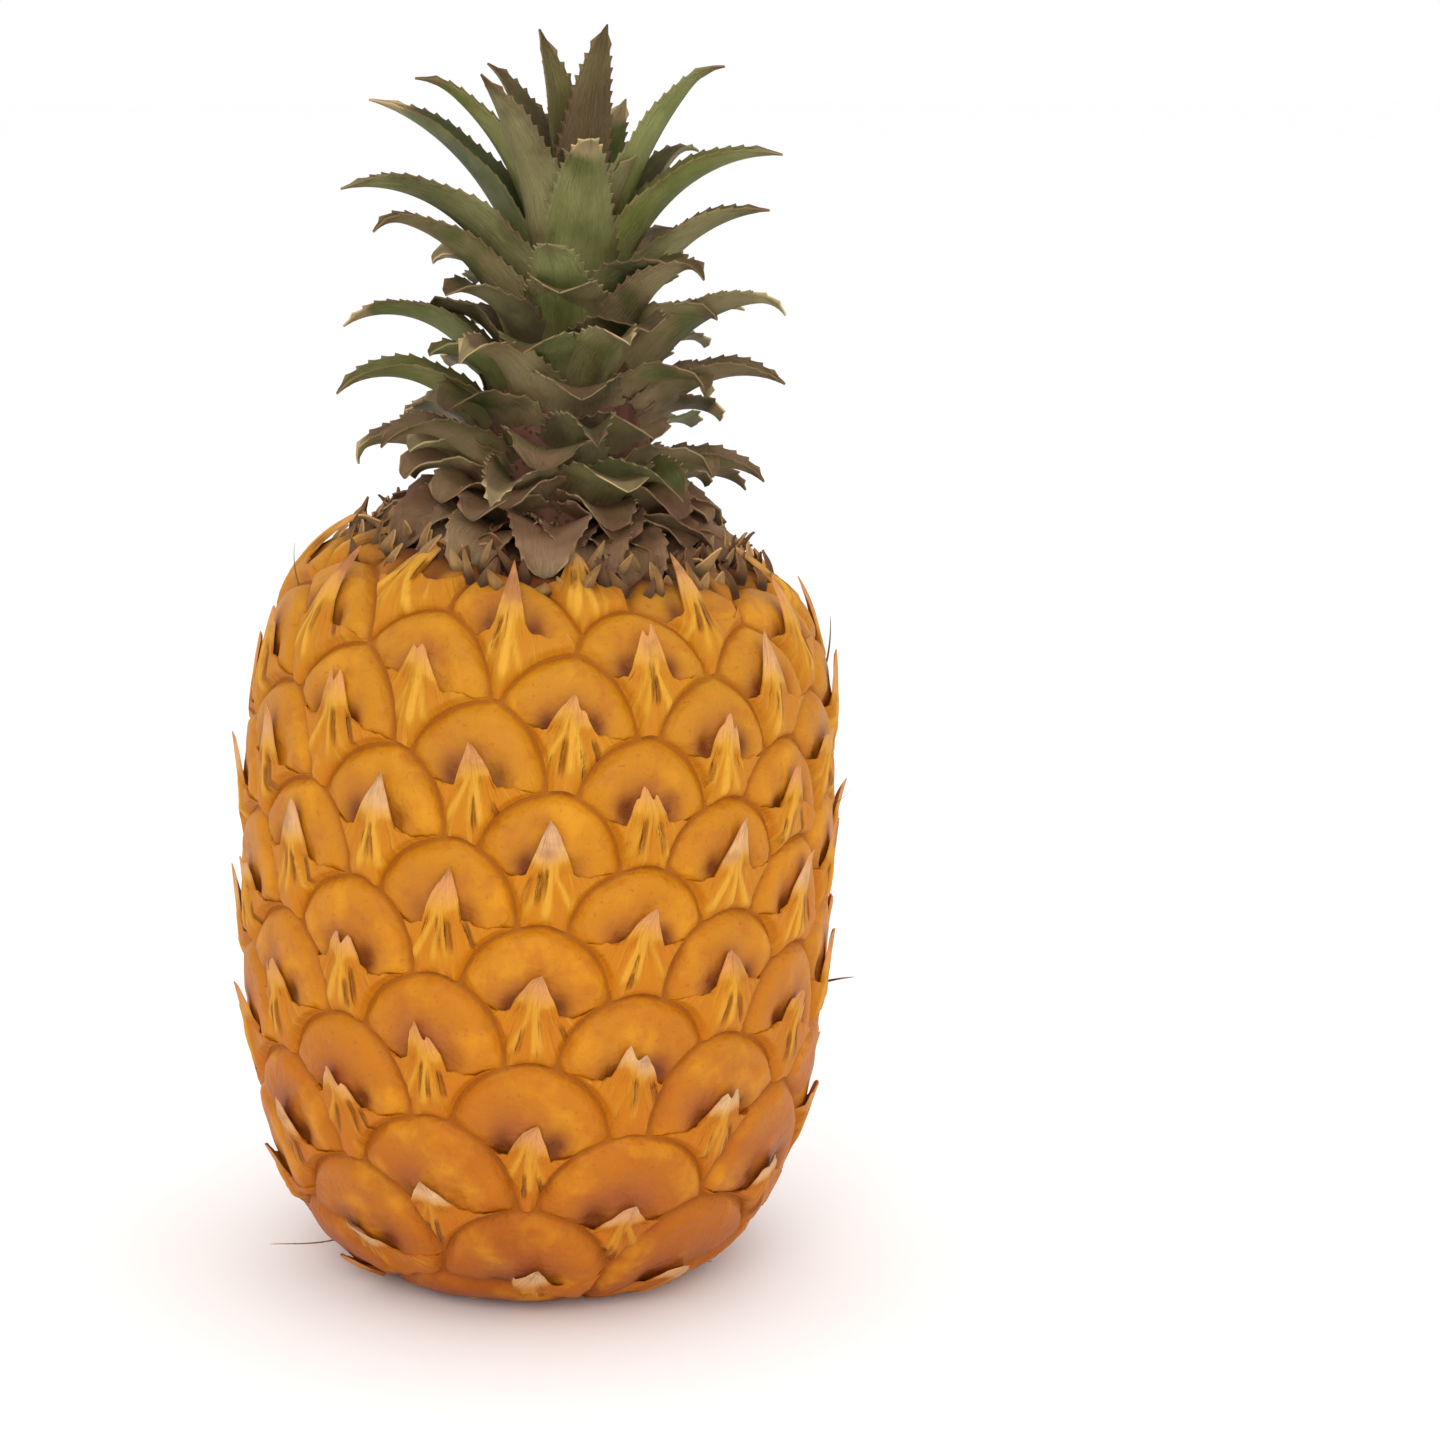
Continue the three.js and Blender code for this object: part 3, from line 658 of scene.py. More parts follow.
def bract(eye):
    """Upper and lower grids of one bract in the eye's local millimetres, as x, y and lift, and for
    each of their points the angle and the way from the tip, the height of the folds and how far up
    the free tip it is."""
    own, lean, torn, curl, left, right = (draw(eye.number, series) for series in range(31, 37))
    outline = eye.outline
    west, east = outline[outline[:, 0].argmin()], outline[outline[:, 0].argmax()]

    def waist(x):
        return np.interp(x, [west[0], east[0]], [west[1], east[1]])

    lower = outline[outline[:, 1] <= waist(outline[:, 0]) + 1e-6]
    lower = lower[lower[:, 0].argsort()]
    high = smooth(HIGH_TIPS["from"], HIGH_TIPS["to"], eye.height)
    reach = mix(BRACT_TIP["rise"], HIGH_TIPS["rise"], high) * (1 + 0.26 * own)
    reach = reach * mix(LOW_TIPS["rise"], 1, smooth(LOW_TIPS["from"], LOW_TIPS["to"], eye.height))
    narrower = np.minimum(eye.left, eye.right)
    wide = mix(BRACT_TIP["wide"], HIGH_TIPS["wide"], high) * narrower * (1 + 0.15 * curl)
    aside = BRACT_COLUMNS
    x = aside * np.where(aside > 0, eye.right, eye.left) * BRACT_GAP["side"]
    bottom = np.interp(x, lower[:, 0], lower[:, 1]) + BRACT_GAP["below"]
    # The ledge runs from one corner of the eye to the other, and the tip stands up from it.
    arm = BRACT_ARM["level"] + BRACT_ARM["sway"] * mix(left, right, smooth(-2, 2, x))
    ledge = mix(arm, waist(x), np.abs(aside) ** 2.5)
    for (rise, turn, shift), by in zip(LEDGE_WAVES, (own, lean)):
        ledge = ledge + rise * np.sin(turn * x + shift * by)
    ledge = ledge + TIP_FOOT["rise"] * np.exp(-((x / (TIP_FOOT["wide"] * wide)) ** 2))
    ledge = np.maximum(ledge, bottom + 0.25)
    spire = (1 - np.clip(np.abs(x) / wide, 0, 1)) ** (BRACT_TIP["sharp"] + 0.2 * curl)
    torn_from = smooth(TORN_TIPS["from"], TORN_TIPS["to"], eye.height)
    if torn > mix(TORN_TIPS["low"], TORN_TIPS["high"], torn_from):
        spire = np.minimum(spire, 0.8 - 0.25 * torn + 0.12 * np.sin(9 * x / wide + 7 * own))
    top = ledge + reach * spire
    share = BRACT_ROWS[:, None]
    y = bottom + (top - bottom) * share
    x = np.broadcast_to(x, y.shape)
    past = np.clip((y - ledge) / reach, 0, 1)
    bent_x = x + lean * TIP_LEAN * past**1.5
    ledge_y = np.minimum(y, ledge)
    # Folds spread downwards from the foot of the tip.
    foot = ledge[len(ledge) // 2]
    down = np.maximum(foot - y, 0)
    fold = np.zeros(y.shape)
    for number, (slant, spread) in enumerate(FOLDS):
        middle = (slant + spread * draw(eye.number, 51 + number)) * (down + 2.2 * (number < 2))
        tall = 0.8 + 0.3 * draw(eye.number, 54 + number)
        broad = FOLD_WIDTH["foot"] + FOLD_WIDTH["growth"] * down
        fold = np.maximum(fold, tall * np.exp(-(((x - middle) / broad) ** 2)))
    fold = mix(fold, TIP_FOLD, smooth(0, 0.3, past)) * smooth(-11, -6, y - foot)
    # It lies on the sepals, steps up to the ledge, and curls out along the tip.
    toward = smooth(-0.75, 0, (y - ledge) / eye.below)
    edge_in = smooth(0.2, 1.5, eye.from_groove(x, ledge_y))
    keel = np.exp(-((x / (0.42 * eye.right)) ** 2))
    lift = np.maximum(eye.lift(x, ledge_y * 0.9), 1.85 * edge_in)
    on_tip = past >= 0.01
    stepped = LEDGE_LIFT * toward * (0.3 + 0.7 * keel)
    lift = lift + edge_in * (0.08 + stepped + FOLD_LIFT * fold * ~on_tip) - BRACT_SUNK
    lift = lift + FOLD_LIFT * TIP_FOLD * on_tip * edge_in
    lift = lift + (TIP_LIFT + 0.8 * curl * np.abs(curl) + 2 * high) * past**1.2
    half_here = np.maximum(wide * (1 - past), 0.4)
    lift = lift - 0.6 * (past > 0) * np.clip(np.abs(x) / half_here, 0, 1) ** 2 * (1 - 0.5 * past)
    thick = mix(BRACT_THICKNESS["edge"], BRACT_THICKNESS["body"], smooth(0.9, 0.6, share))
    upper = np.stack([bent_x, y, lift], axis=-1)
    under = np.stack([bent_x, y, lift - thick * (1 - 0.4 * past)], axis=-1)
    below_tip = foot + reach + 1 - y
    angle = np.arctan2(x, below_tip)
    return upper, under, np.stack([angle, np.hypot(x, below_tip), fold, past], axis=-1)


def bract_mesh(chosen):
    shape = (len(BRACT_ROWS), len(BRACT_COLUMNS))
    one = blade_faces(*shape)
    points = []
    values = []
    for eye in chosen:
        *sides, place = bract(eye)
        own = np.full((*shape, 1), draw(eye.number, 22) / 2 + 0.5)
        for side, lowest in zip(sides, BRACT_FLOOR):
            placed = eye.place(side[..., 0], side[..., 1], side[..., 2]).reshape(-1, 3)
            placed[:, 2] = np.maximum(placed[:, 2], lowest)
            points.append(placed)
            values.append(np.concatenate([place, own], axis=-1).reshape(-1, 5))
    size = 2 * shape[0] * shape[1]
    faces = np.vstack([one + size * i for i in range(len(chosen))])
    return np.vstack(points), faces, np.vstack(values)[faces.ravel()]


def bract_material():
    material = new_material("bract")
    fan, _ = material.attribute("fan")
    place, _ = material.attribute("tip")
    angle, away, fold = fan.parts()
    past, own, _ = place.parts()
    where = material.node("TexCoord", output=3)
    _, _, z = where.parts()
    height = z / (SKIN_HEIGHT * MM)
    fibre_place = material.node("CombineXYZ", inputs={0: angle * 16, 1: away * 0.12, 2: own * 40})
    fibres = fibre_place.noise(1, 3)
    clouds = where.noise(120, 4)
    colour = ripe_skin(where, height + 0.08)
    valley = fold.rise(0.5, 0.05) * fibres.rise(0.75, 0.35) * 0.5
    colour = valley.over(colour, srgb(190, 104, 8))
    crest = fold.rise(0.35, 0.9) * (0.4 + 0.4 * height)
    colour = crest.over(colour, srgb(222, 162, 50))
    streaks = fibres.rise(0.55, 0.8) * 0.45
    colour = streaks.over(colour, srgb(214, 150, 48))
    dried = past.rise(0.1, 0.75)
    colour = (dried * 0.9).over(colour, srgb(216, 146, 90))
    pale = (own * 7.13).fraction().rise(0.3, 0.8) * past.rise(0.1, 0.55) * clouds.rise(0.2, 0.6)
    colour = (pale * (1.15 - 0.6 * height) * 0.8).over(colour, srgb(222, 184, 138))
    brown = clouds.rise(0.5, 0.68) * past.rise(0.05, 0.5) * 0.6
    colour = brown.over(colour, srgb(148, 90, 58))
    slits = None
    for series in range(3):
        chance = (own * (11.7 + 5.3 * series)).fraction()
        line = (angle - (chance - 0.5) * (0.5 + 0.25 * series) - (fibres - 0.5) * 0.06) * away
        slit = line.bell(0, 0.42) * away.rise(9.5 + series, 11.5 + series)
        slit = slit * away.rise(18.5, 14.5 + series) * chance.rise(0.15, 0.35) * fold.rise(1.0, 0.5)
        slits = slit if slits is None else slits.maths("MAXIMUM", slits, slit)
    colour = (slits * 0.8).over(colour, srgb(146, 76, 2))
    # Bracts under the crown's foot turn brown: partly dry tissue, partly painted shade under the
    # crown.
    colour = (near_crown(where) * past.rise(0.4, -0.2)).over(colour, srgb(110, 68, 34))
    roughness = 0.5 + 0.2 * clouds + 0.15 * dried
    bumps = [(fibres, 0.0007), (slits, -0.0008), (clouds, 0.0005), (where.noise(1500, 2), 0.00008)]
    material.finish(colour, roughness, bumps, **{"Specular IOR Level": 0.22})
    return material.material


bract_skin = bract_material()
for name, chosen in (
    ("lower_bracts", [eye for eye in eyes if eye.height < WAIST_LEVEL]),
    ("upper_bracts", [eye for eye in eyes if eye.height >= WAIST_LEVEL]),
):
    bract_points, bract_faces, bract_values = bract_mesh(chosen)
    values = {"fan": bract_values[:, :3], "tip": bract_values[:, [3, 4, 4]]}
    bracts = make_piece(name, bract_points, bract_faces.tolist(), values)
    bracts.data.materials.append(bract_skin)
    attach(bracts, "root")

# ---- Crown leaves: stiff, channelled blades packed in one spiral round a short stem, with a hooked
# spine every few millimetres along both edges. They grow in a frame of their own that leans with
# the fruit. ----

CROWN_GAP = 0.3
CROWN_STRAIGHTENING = 0.0003  # how far back it curves, for the square of the height
# The leaves that show from the front and the sides, from the foot up: where each points, the level
# and radius of its root, its length and width, and its slopes at root and tip.
FRONT_LEAVES = (
    (-90, 4, 15, 34, 16, 64, -44),
    (-20, 4, 15, 30, 18, 60, -44),
    (84, 6, 15, 31, 15, 62, -34),
    (114, 4, 15, 31, 14, 54, -38),
    (34, 5, 15, 32, 18, 62, -36),
    (-56, 6, 15, 36, 17, 68, -34),
    (8, 9, 14, 36, 18, 74, -30),
    (-80, 9, 13, 46, 17, 77, -42),
    (78, 16, 13, 41, 17, 72, -20),
    (-98, 18, 12, 48, 16, 79, -38),
    (-32, 15, 13, 42, 19, 80, -14),
    (16, 19, 12, 41, 19, 82, -10),
    (84, 24, 12, 45, 18, 75, -4),
    (-70, 30, 10, 50, 18, 77, -2),
    (46, 27, 11, 43, 18, 84, 14),
    (-11, 27, 11, 42, 21, 82, 26),
    (80, 34, 9, 49, 19, 80, 10),
    (-74, 36, 9, 56, 20, 76, -16),
    (88, 45, 7, 52, 18, 79, 2),
    (3, 36, 9, 50, 22, 86, 52),
    (-100, 43, 7, 57, 17, 74, 12),
    (-46, 38, 7, 58, 21, 82, 50),
    (-84, 42, 6, 58, 17, 86, 26),
    (92, 46, 5, 57, 20, 82, 48),
    (-134, 47, 4, 54, 19, 87, 72),
    (155, 49, 3, 54, 17, 88, 76),
)
INNER_LEAVES = 30  # short ones close round the stem, whose tips curl outwards
HEART_LEAVES = 7  # young ones that stand at the very middle
BACK_LEAVES = 15  # spread over an arc on the far side, each a share of the arc from the last
BACK_MIDDLE = 178
BACK_ARC = 122
BACK_TURN = 0.618
LEAF_TURN = 137.5
CHANNEL = {"root": 0.95, "tip": 0.7, "power": 1.35}
RIPPLE = {"height": 0.05, "turn": 23, "shift": 5}  # turn over the whole length of the leaf
RIBS = {"height": 0.09, "count": 9}
SLOPE_CURVE = 1.44
SLOPE_STEPS = 400
LEAF_ROLL = 9
LEAF_HOOK = {"fresh": 1.1, "dry": 0.3}  # how much further a leaf bends at its very tip, in radians
SCALE_SWEEP = {"share": 0.55, "power": 1.6}
COLLAR_LEAVES = 12  # in each of its rows
COLLAR_ROWS = (  # level and radius of the roots, length, width, and slopes at root and tip
    (2, 15, 18, 18, 42, -44),
    (5.5, 14, 20.5, 18, 54, -50),
    (1, 15, 25, 20, 28, -66),
    (0.5, 16, 22, 20, 18, -60),
)
LEAF_COLUMNS = np.array([-1, -0.94, -0.8, -0.55, -0.28, 0, 0.28, 0.55, 0.8, 0.94, 1])
SPINE_SPACING = 2.3
SPINE_STEPS = ((0, 0, 0), (0.45, 0.3, 0.1), (0.75, 1, 0.55))  # share of a space, reach, hook
SPINE_REACH = 1.05
SPINE_HOOK = 0.9
LEAF_THICKNESS = {"edge": 0.35, "midrib": 1.3}
# Spaces before the first spine, share of the length that has spines, and how much they shrink.
SPINES = {"first": 0.6, "share": 0.92, "loss": 0.45}
SMALL_LEAF_ROWS = 10
LEAF_TAPER = 0.64
BLUNT_TAPER = {"wide": 0.95, "power": 2.2}
LEAF_FOOT = {"wide": 0.8, "growth": 0.2, "to": 0.3}  # shares of the width, and of the length
LEAST_HALF_WIDTH = 0.12
LEAF_TIP = {"from": 0.84, "wide": 0.309}  # share of the length, and of the width there
# First number of the leaves of each kind. A leaf's number picks its draws.
NUMBERS = {"front": 0, "heart": 30, "back": 50, "inner": 70, "collar": 100, "scale": 200}


def leaf_of(form, number):
    """All that the making of a leaf needs. Each is rolled a little to one side. The collar's leaves
    and the scales are dry, and the inner and the collar's leaves are flatter and blunt."""
    theta, level, start, length, width, root, tip = form
    dry = number >= NUMBERS["collar"]
    scale = number >= NUMBERS["scale"]
    blunt = number >= NUMBERS["inner"] and not scale
    return {
        "number": number,
        "up": -0.2 if dry else level / 50,
        "theta": math.radians(theta),
        "level": level,
        "start": start,
        "length": length,
        "width": width,
        "root_slope": math.radians(root),
        "tip_slope": math.radians(tip),
        "roll": math.radians(LEAF_ROLL * draw(number, 7)),
        "hook": LEAF_HOOK["dry"] if dry else max(0, draw(number, 9)) * LEAF_HOOK["fresh"],
        "sweep": SCALE_SWEEP["share"] * draw(number, 8) if scale else 0,
        "flatness": 0.5 if blunt else 1,
        "spines": 0.5 if dry else 1,
        "blunt": 0.8 if blunt else 0,
    }


def back_leaf(k):
    up = k / (BACK_LEAVES - 1)
    return (
        BACK_MIDDLE + BACK_ARC * ((k * BACK_TURN + 0.3) % 1 - 0.5) + 5 * draw(k, 1),
        mix(4, 46, up) + 1.5 * draw(k, 2),
        mix(15, 5, up),
        mix(34, 53, up) + 3 * draw(k, 3),
        16 + draw(k, 4),
        mix(64, 86, up) + 3 * draw(k, 5),
        mix(-44, 48, up) + 9 * draw(k, 6),
    )


def inner_leaf(k):
    up = k / (INNER_LEAVES - 1)
    return (
        LEAF_TURN * k + 20 + 8 * draw(k, 15),
        mix(5, 36, up),
        mix(15, 9, up),
        mix(23, 32, up) + 2 * draw(k, 16),
        22 + 1.5 * draw(k, 17),
        mix(72, 86, up) + 3 * draw(k, 18),
        mix(-40, -14, up) + 12 * draw(k, 19),
    )


def heart_leaf(k):
    up = k / (HEART_LEAVES - 1)
    return (
        LEAF_TURN * k + 60,
        mix(48, 55, up),
        mix(5, 1, up),
        mix(32, 22, up) + 2 * draw(k, 61),
        mix(14, 8, up),
        86,
        mix(66, 84, up) + 4 * draw(k, 62),
    )


def collar_leaf(k):
    """One of the short dry leaves in rings round the foot of the crown. The last two rings droop
    on the fruit."""
    row = k // COLLAR_LEAVES
    level, start, length, width, root, tip = COLLAR_ROWS[row]
    return (
        360 * (k + 0.5 * row) / COLLAR_LEAVES + 7 * draw(k, 11),
        level + 2.5 * (k % 2),
        start,
        length + 2 * draw(k, 12),
        width + draw(k, 13),
        root + 6 * draw(k, 14),
        tip + 8 * draw(k, 15),
    )


def leaf_stations(length, spiny):
    """Shares of the length at which the leaf has its sections, and the reach and hook of the spine
    at each of them."""
    if not spiny:
        none = np.zeros(SMALL_LEAF_ROWS)
        return np.stack([np.linspace(0, 1, SMALL_LEAF_ROWS), none, none])
    count = int(length * SPINES["share"] / SPINE_SPACING)
    stations = [
        ((SPINES["first"] + i + share) * SPINE_SPACING / length, reach, hook)
        for i in range(count)
        for share, reach, hook in SPINE_STEPS
    ]
    return np.array([(0, 0, 0), *stations, (0.96, 0, 0), (0.98, 0, 0), (1, 0, 0)]).T


def leaf(form, spiny):
    """Upper and lower grids of a leaf in the crown's frame, and across and along for each point."""
    t, spine, hook = leaf_stations(form["length"], spiny)
    fine = np.linspace(0, 1, SLOPE_STEPS + 1)
    slope = mix(form["root_slope"], form["tip_slope"], fine**SLOPE_CURVE)
    slope = slope - form["hook"] * smooth(LEAF_TIP["from"], 1, fine)
    # The route of the midrib, out from the stem and up.
    step = form["length"] / SLOPE_STEPS
    out = form["start"] + np.concatenate([[0], np.cumsum(np.cos(slope[:-1]) * step)])
    rise = form["level"] + np.concatenate([[0], np.cumsum(np.sin(slope[:-1]) * step)])
    out, rise, slope = (np.interp(t, fine, values)[:, None] for values in (out, rise, slope))
    # Half the width along it, and the depth of the channel.
    point = LEAF_TIP["wide"] * (1 - t) / (1 - LEAF_TIP["from"])
    taper = np.where(t > LEAF_TIP["from"], point, (1 - t) ** LEAF_TAPER)
    blunt = BLUNT_TAPER["wide"] * np.sqrt(1 - t ** BLUNT_TAPER["power"])
    taper = mix(taper, blunt, form["blunt"])
    foot = LEAF_FOOT["wide"] + LEAF_FOOT["growth"] * smooth(0, LEAF_FOOT["to"], t)
    half = form["width"] / 2 * taper * foot + LEAST_HALF_WIDTH
    ripple = np.sin(t * RIPPLE["turn"] + RIPPLE["shift"] * draw(form["number"], 41))
    ripple = RIPPLE["height"] * ripple * smooth(0.15, 0.5, t)
    channel = form["flatness"] * mix(CHANNEL["root"], CHANNEL["tip"], t) + ripple
    # Its sections, with spines on the rim, ribs and a thick middle.
    across = LEAF_COLUMNS[None, :]
    outer = np.abs(across) == 1
    spine = spine * SPINE_REACH * form["spines"] * (1 - SPINES["loss"] * t) * (t > 0.04)
    hook = hook * SPINE_HOOK
    aside = across * half[:, None] + np.sign(across) * outer * spine[:, None]
    aside = aside + form["sweep"] * form["length"] * t[:, None] ** SCALE_SWEEP["power"]
    lift = channel[:, None] * half[:, None] * np.abs(across) ** CHANNEL["power"]
    lift = lift + outer * 0.5 * spine[:, None]
    ahead = outer * hook[:, None]
    ribs = RIBS["height"] * np.cos(across * RIBS["count"] * math.pi) * (1 - np.abs(across))
    thick = mix(LEAF_THICKNESS["midrib"], LEAF_THICKNESS["edge"], np.abs(across) ** 0.8)
    thick = mix(thick, LEAF_THICKNESS["edge"], t[:, None])
    # Both sides of the blade, rolled, set on the route and turned to where the leaf points.
    roll = form["roll"] * t[:, None]
    grids = []
    for side in (0.5, -0.5):
        tall = lift + side * thick + ribs
        sideways = aside * np.cos(roll) - tall * np.sin(roll)
        above = aside * np.sin(roll) + tall * np.cos(roll)
        x = out + ahead * np.cos(slope) - above * np.sin(slope)
        z = rise + ahead * np.sin(slope) + above * np.cos(slope)
        turn = form["theta"] - math.pi / 2
        turned_x = x * math.cos(turn) - sideways * math.sin(turn)
        turned_y = x * math.sin(turn) + sideways * math.cos(turn)
        grids.append(np.stack([turned_x - CROWN_STRAIGHTENING * z * z, turned_y, z], axis=-1))
    across, along = np.broadcast_arrays(across, t[:, None])
    return grids, across, along


def on_crown(points):
    """Points of the crown's own frame put on the top of the leaning fruit."""
    seat = bend(np.array(0.0), np.array(0.0), np.array(BEND_END + CROWN_GAP))
    x, y, z = np.moveaxis(points, -1, 0)
    c, s = math.cos(BEND_ANGLE), math.sin(BEND_ANGLE)
    return np.stack([x * c + z * s, y, z * c - x * s], axis=-1) + seat


def leaf_piece(name, forms, spiny=True):
    """One piece of many leaves. It carries the place on the leaf and the leaf's own draw, and for
    the spiny ones how high up the crown the leaf is and which side of it a point is on."""
    points = []
    faces = []
    values = []
    count = 0
    for form in forms:
        grids, across, along = leaf(form, spiny)
        for side, grid in enumerate(grids):
            points.append(on_crown(grid).reshape(-1, 3))
            own = np.full(across.shape, draw(form["number"], 42) / 2 + 0.5)
            up = np.full(across.shape, form["up"])
            under = np.full(across.shape, side)
            values.append(np.stack([across, along, own, up, under], axis=-1).reshape(-1, 5))
        faces.append(blade_faces(*across.shape) + count)
        count += 2 * across.size
    faces = np.vstack(faces)
    values = np.vstack(values)[faces.ravel()]
    carried = {"leaf": values[:, :3]}
    if spiny:
        carried["crown"] = values[:, [3, 4, 4]]
    return make_piece(name, np.vstack(points), faces.tolist(), carried)


crown_leaves = [leaf_of(form, NUMBERS["front"] + k) for k, form in enumerate(FRONT_LEAVES)]
for kind, count, form_of in (
    ("back", BACK_LEAVES, back_leaf),
    ("inner", INNER_LEAVES, inner_leaf),
    ("heart", HEART_LEAVES, heart_leaf),
):
    crown_leaves += [leaf_of(form_of(k), NUMBERS[kind] + k) for k in range(count)]
leaves = leaf_piece("leaves", crown_leaves)
in_collar = range(COLLAR_LEAVES * len(COLLAR_ROWS))
collar = leaf_piece(
    "collar_leaves", [leaf_of(collar_leaf(k), NUMBERS["collar"] + k) for k in in_collar]
)


def leaf_material():
    material = new_material("spiny leaf")
    place, _ = material.attribute("leaf")
    crown, _ = material.attribute("crown")
    across, along, own = place.parts()
    up, under, _ = crown.parts()
    where = material.node("TexCoord", output=3)
    clouds = where.noise(70, 4)
    grain = place.noise(6, 4, (14, 1.2, 9))
    edge = across.maths("ABSOLUTE", across)
    stops = [(0.0, srgb(70, 71, 35)), (0.45, srgb(97, 103, 47)), (1.0, srgb(139, 143, 74))]
    tone = (grain * 0.3 + clouds * 0.4 + own * 0.3).rise(0.25, 0.75)
    colour = tone.node("ValToRGB", {"stops": stops}, {0: tone})
    fresh = up.rise(0.45, 0.95) * along.rise(0.0, 0.5) * own.rise(0.2, 0.7)
    colour = (fresh * 0.7).over(colour, srgb(132, 144, 48))
    flushed = (own * 5.3).fraction().rise(0.1, 0.6) * clouds.rise(0.3, 0.6)
    colour = (flushed * 0.85 * up.rise(1.1, 0.4)).over(colour, srgb(154, 107, 90))
    foot = along.rise(0.6, 0.05) * up.rise(1.1, 0.3)
    colour = (foot * 0.75).over(colour, srgb(150, 104, 82))
    # Painted shade: the topmost leaves turn browner, standing for their upper faces seen in shade.
    colour = (up.rise(0.9, 0.96) * 0.7).over(colour, srgb(138, 112, 80))
    margin = edge.rise(0.88, 1.0)
    colour = (margin * 0.6).over(colour, srgb(104, 72, 54))
    tip = along.rise(0.84, 0.98)
    colour = (tip * 0.8).over(colour, srgb(118, 84, 56))
    dead = (own * 9.1).fraction().rise(0.72, 0.76) * (along + 0.06 * clouds).rise(0.87, 0.93)
    colour = dead.over(colour, srgb(194, 164, 118))
    dry_colour = clouds.rise(0.35, 0.65).over(srgb(138, 96, 70), srgb(172, 128, 100))
    colour = (up.rise(0.1, -0.1) * 0.8).over(colour, dry_colour)
    bloom = (0.35 + 0.65 * under) * clouds.rise(0.35, 0.65) * 0.5
    colour = bloom.over(colour, srgb(162, 162, 106))
    # Painted shade at the leaves' roots, where they overlap.
    colour = (along.rise(0.3, 0.0) * 0.45).over(colour, srgb(62, 46, 26))
    roughness = 0.42 + 0.25 * clouds + 0.15 * margin
    bumps = [(grain, 0.0005), (where.noise(900, 3), 0.0001)]
    material.finish(colour, roughness, bumps, **{"Specular IOR Level": 0.25})
    return material.material


leaf_skin = leaf_material()
for piece in (leaves, collar):
    piece.data.materials.append(leaf_skin)
    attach(piece, "root")
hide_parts("crown")
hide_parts("crown")

# ---- Stem: the short woody axis that the crown's leaves are packed on, hidden but for the gaps
# between their feet. ----

STEM = ((0, 0.1), (17.8, 0.1), (18.8, 5), (17.8, 13), (15.8, 28), (11.8, 42), (0.5, 58))
RIDGES = ((8, 0.55), (5, -0.4))  # of stem and stalk: number round it, and turn in a millimetre
STEM_SIDES = 48
STEM_ROWS = 40
STEM_ROUGHNESS = 0.035  # depth of its ridges, as a share of the radius


def turned_mesh(outline, sides, rows, rough):
    """A closed body swept round the Z axis by an outline of radius and height, made rough."""
    knots = np.array(outline, float)
    run = np.concatenate([[0], np.cumsum(np.hypot(*np.diff(knots, axis=0).T))])
    at = np.linspace(0, run[-1], rows)
    radius = np.interp(at, run, knots[:, 0])[:, None]
    height = np.interp(at, run, knots[:, 1])[:, None]
    theta = np.linspace(0, 2 * math.pi, sides, endpoint=False)[None, :]
    (first, slant), (second, counter) = RIDGES
    ridges = rough * np.sin(first * theta + slant * height)
    out = radius * (1 + ridges * np.sin(second * theta + counter * height))
    grid = np.stack([out * np.sin(theta), -out * np.cos(theta), height + 0 * theta], axis=-1)
    points = np.vstack([grid[1:-1].reshape(-1, 3), [[0, 0, knots[0, 1]], [0, 0, knots[-1, 1]]]])
    faces = grid_faces(rows - 2, sides, closed=True)
    low, high = len(points) - 2, len(points) - 1
    last = (rows - 3) * sides
    faces += [[low, (i + 1) % sides, i] for i in range(sides)]
    faces += [[high, last + i, last + (i + 1) % sides] for i in range(sides)]
    return points, faces


def dry_fibre_material(name, pale, dark):
    """Dry woody tissue with fibres along the growth and small dark bundles."""
    material = new_material(name)
    where = material.node("TexCoord", output=3)
    fibres = where.noise(260, 5, (1, 1, 0.15))
    clouds = where.noise(110, 3)
    bundles = material.node("TexVoronoi", inputs={"Vector": where, "Scale": 620}).rise(0.32, 0.12)
    colour = (fibres * 0.6 + clouds * 0.4).rise(0.3, 0.7).over(dark, pale)
    colour = (bundles * 0.45).over(colour, srgb(84, 56, 32))
    bumps = [(fibres, 0.0006), (bundles, -0.0003)]
    material.finish(colour, 0.78 + 0.12 * clouds, bumps, **{"Specular IOR Level": 0.1})
    return material.material


stem_points, stem_faces = turned_mesh(STEM, STEM_SIDES, STEM_ROWS, STEM_ROUGHNESS)
stem = make_piece("stem", on_crown(stem_points), stem_faces, {})
stem.data.materials.append(dry_fibre_material("dry stem", srgb(132, 90, 74), srgb(88, 56, 42)))
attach(stem, "root")
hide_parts("crown")

# ---- Dry scales: small papery bracts crowded where the fruit ends and the crown begins. They stand every way, dark at the root where shade is painted, and tan, brown or cream towards the tip.

SCALE_RINGS = ((43, 30), (40, 44), (37, 50), (34, 50), (30.5, 36), (27, 24))  # radius, count
SCALE_NUMBERS = 60  # numbers kept for each ring
SCALE_LENGTH = 6
SCALE_SPREAD = (31, 38)  # radii between which they turn from leaning out to curling in


def dry_scale(ring, k):
    radius, count = SCALE_RINGS[ring]
    number = SCALE_NUMBERS * ring + k
    own = [draw(number, 60 + series) for series in range(6)]
    radius += 1.3 * own[1]
    outer = smooth(*SCALE_SPREAD, radius)
    round_off = 1 - (radius / WAIST_RADIUS) ** TOP_ROUNDING["radius"]
    return (
        360 * (k + 0.3 * ring) / count + 8 * own[0],
        TOP_RISE * (round_off ** (1 / TOP_ROUNDING["rise"]) - 1) - 0.2,
        radius,
        SCALE_LENGTH * (1 + 0.45 * own[2]),
        mix(2.8, 3.4, outer) + 1.4 * own[3],
        mix(46, 84, outer) + mix(30, 22, outer) * own[4],
        mix(58, 132, outer) + mix(60, 34, outer) * own[5],
    )


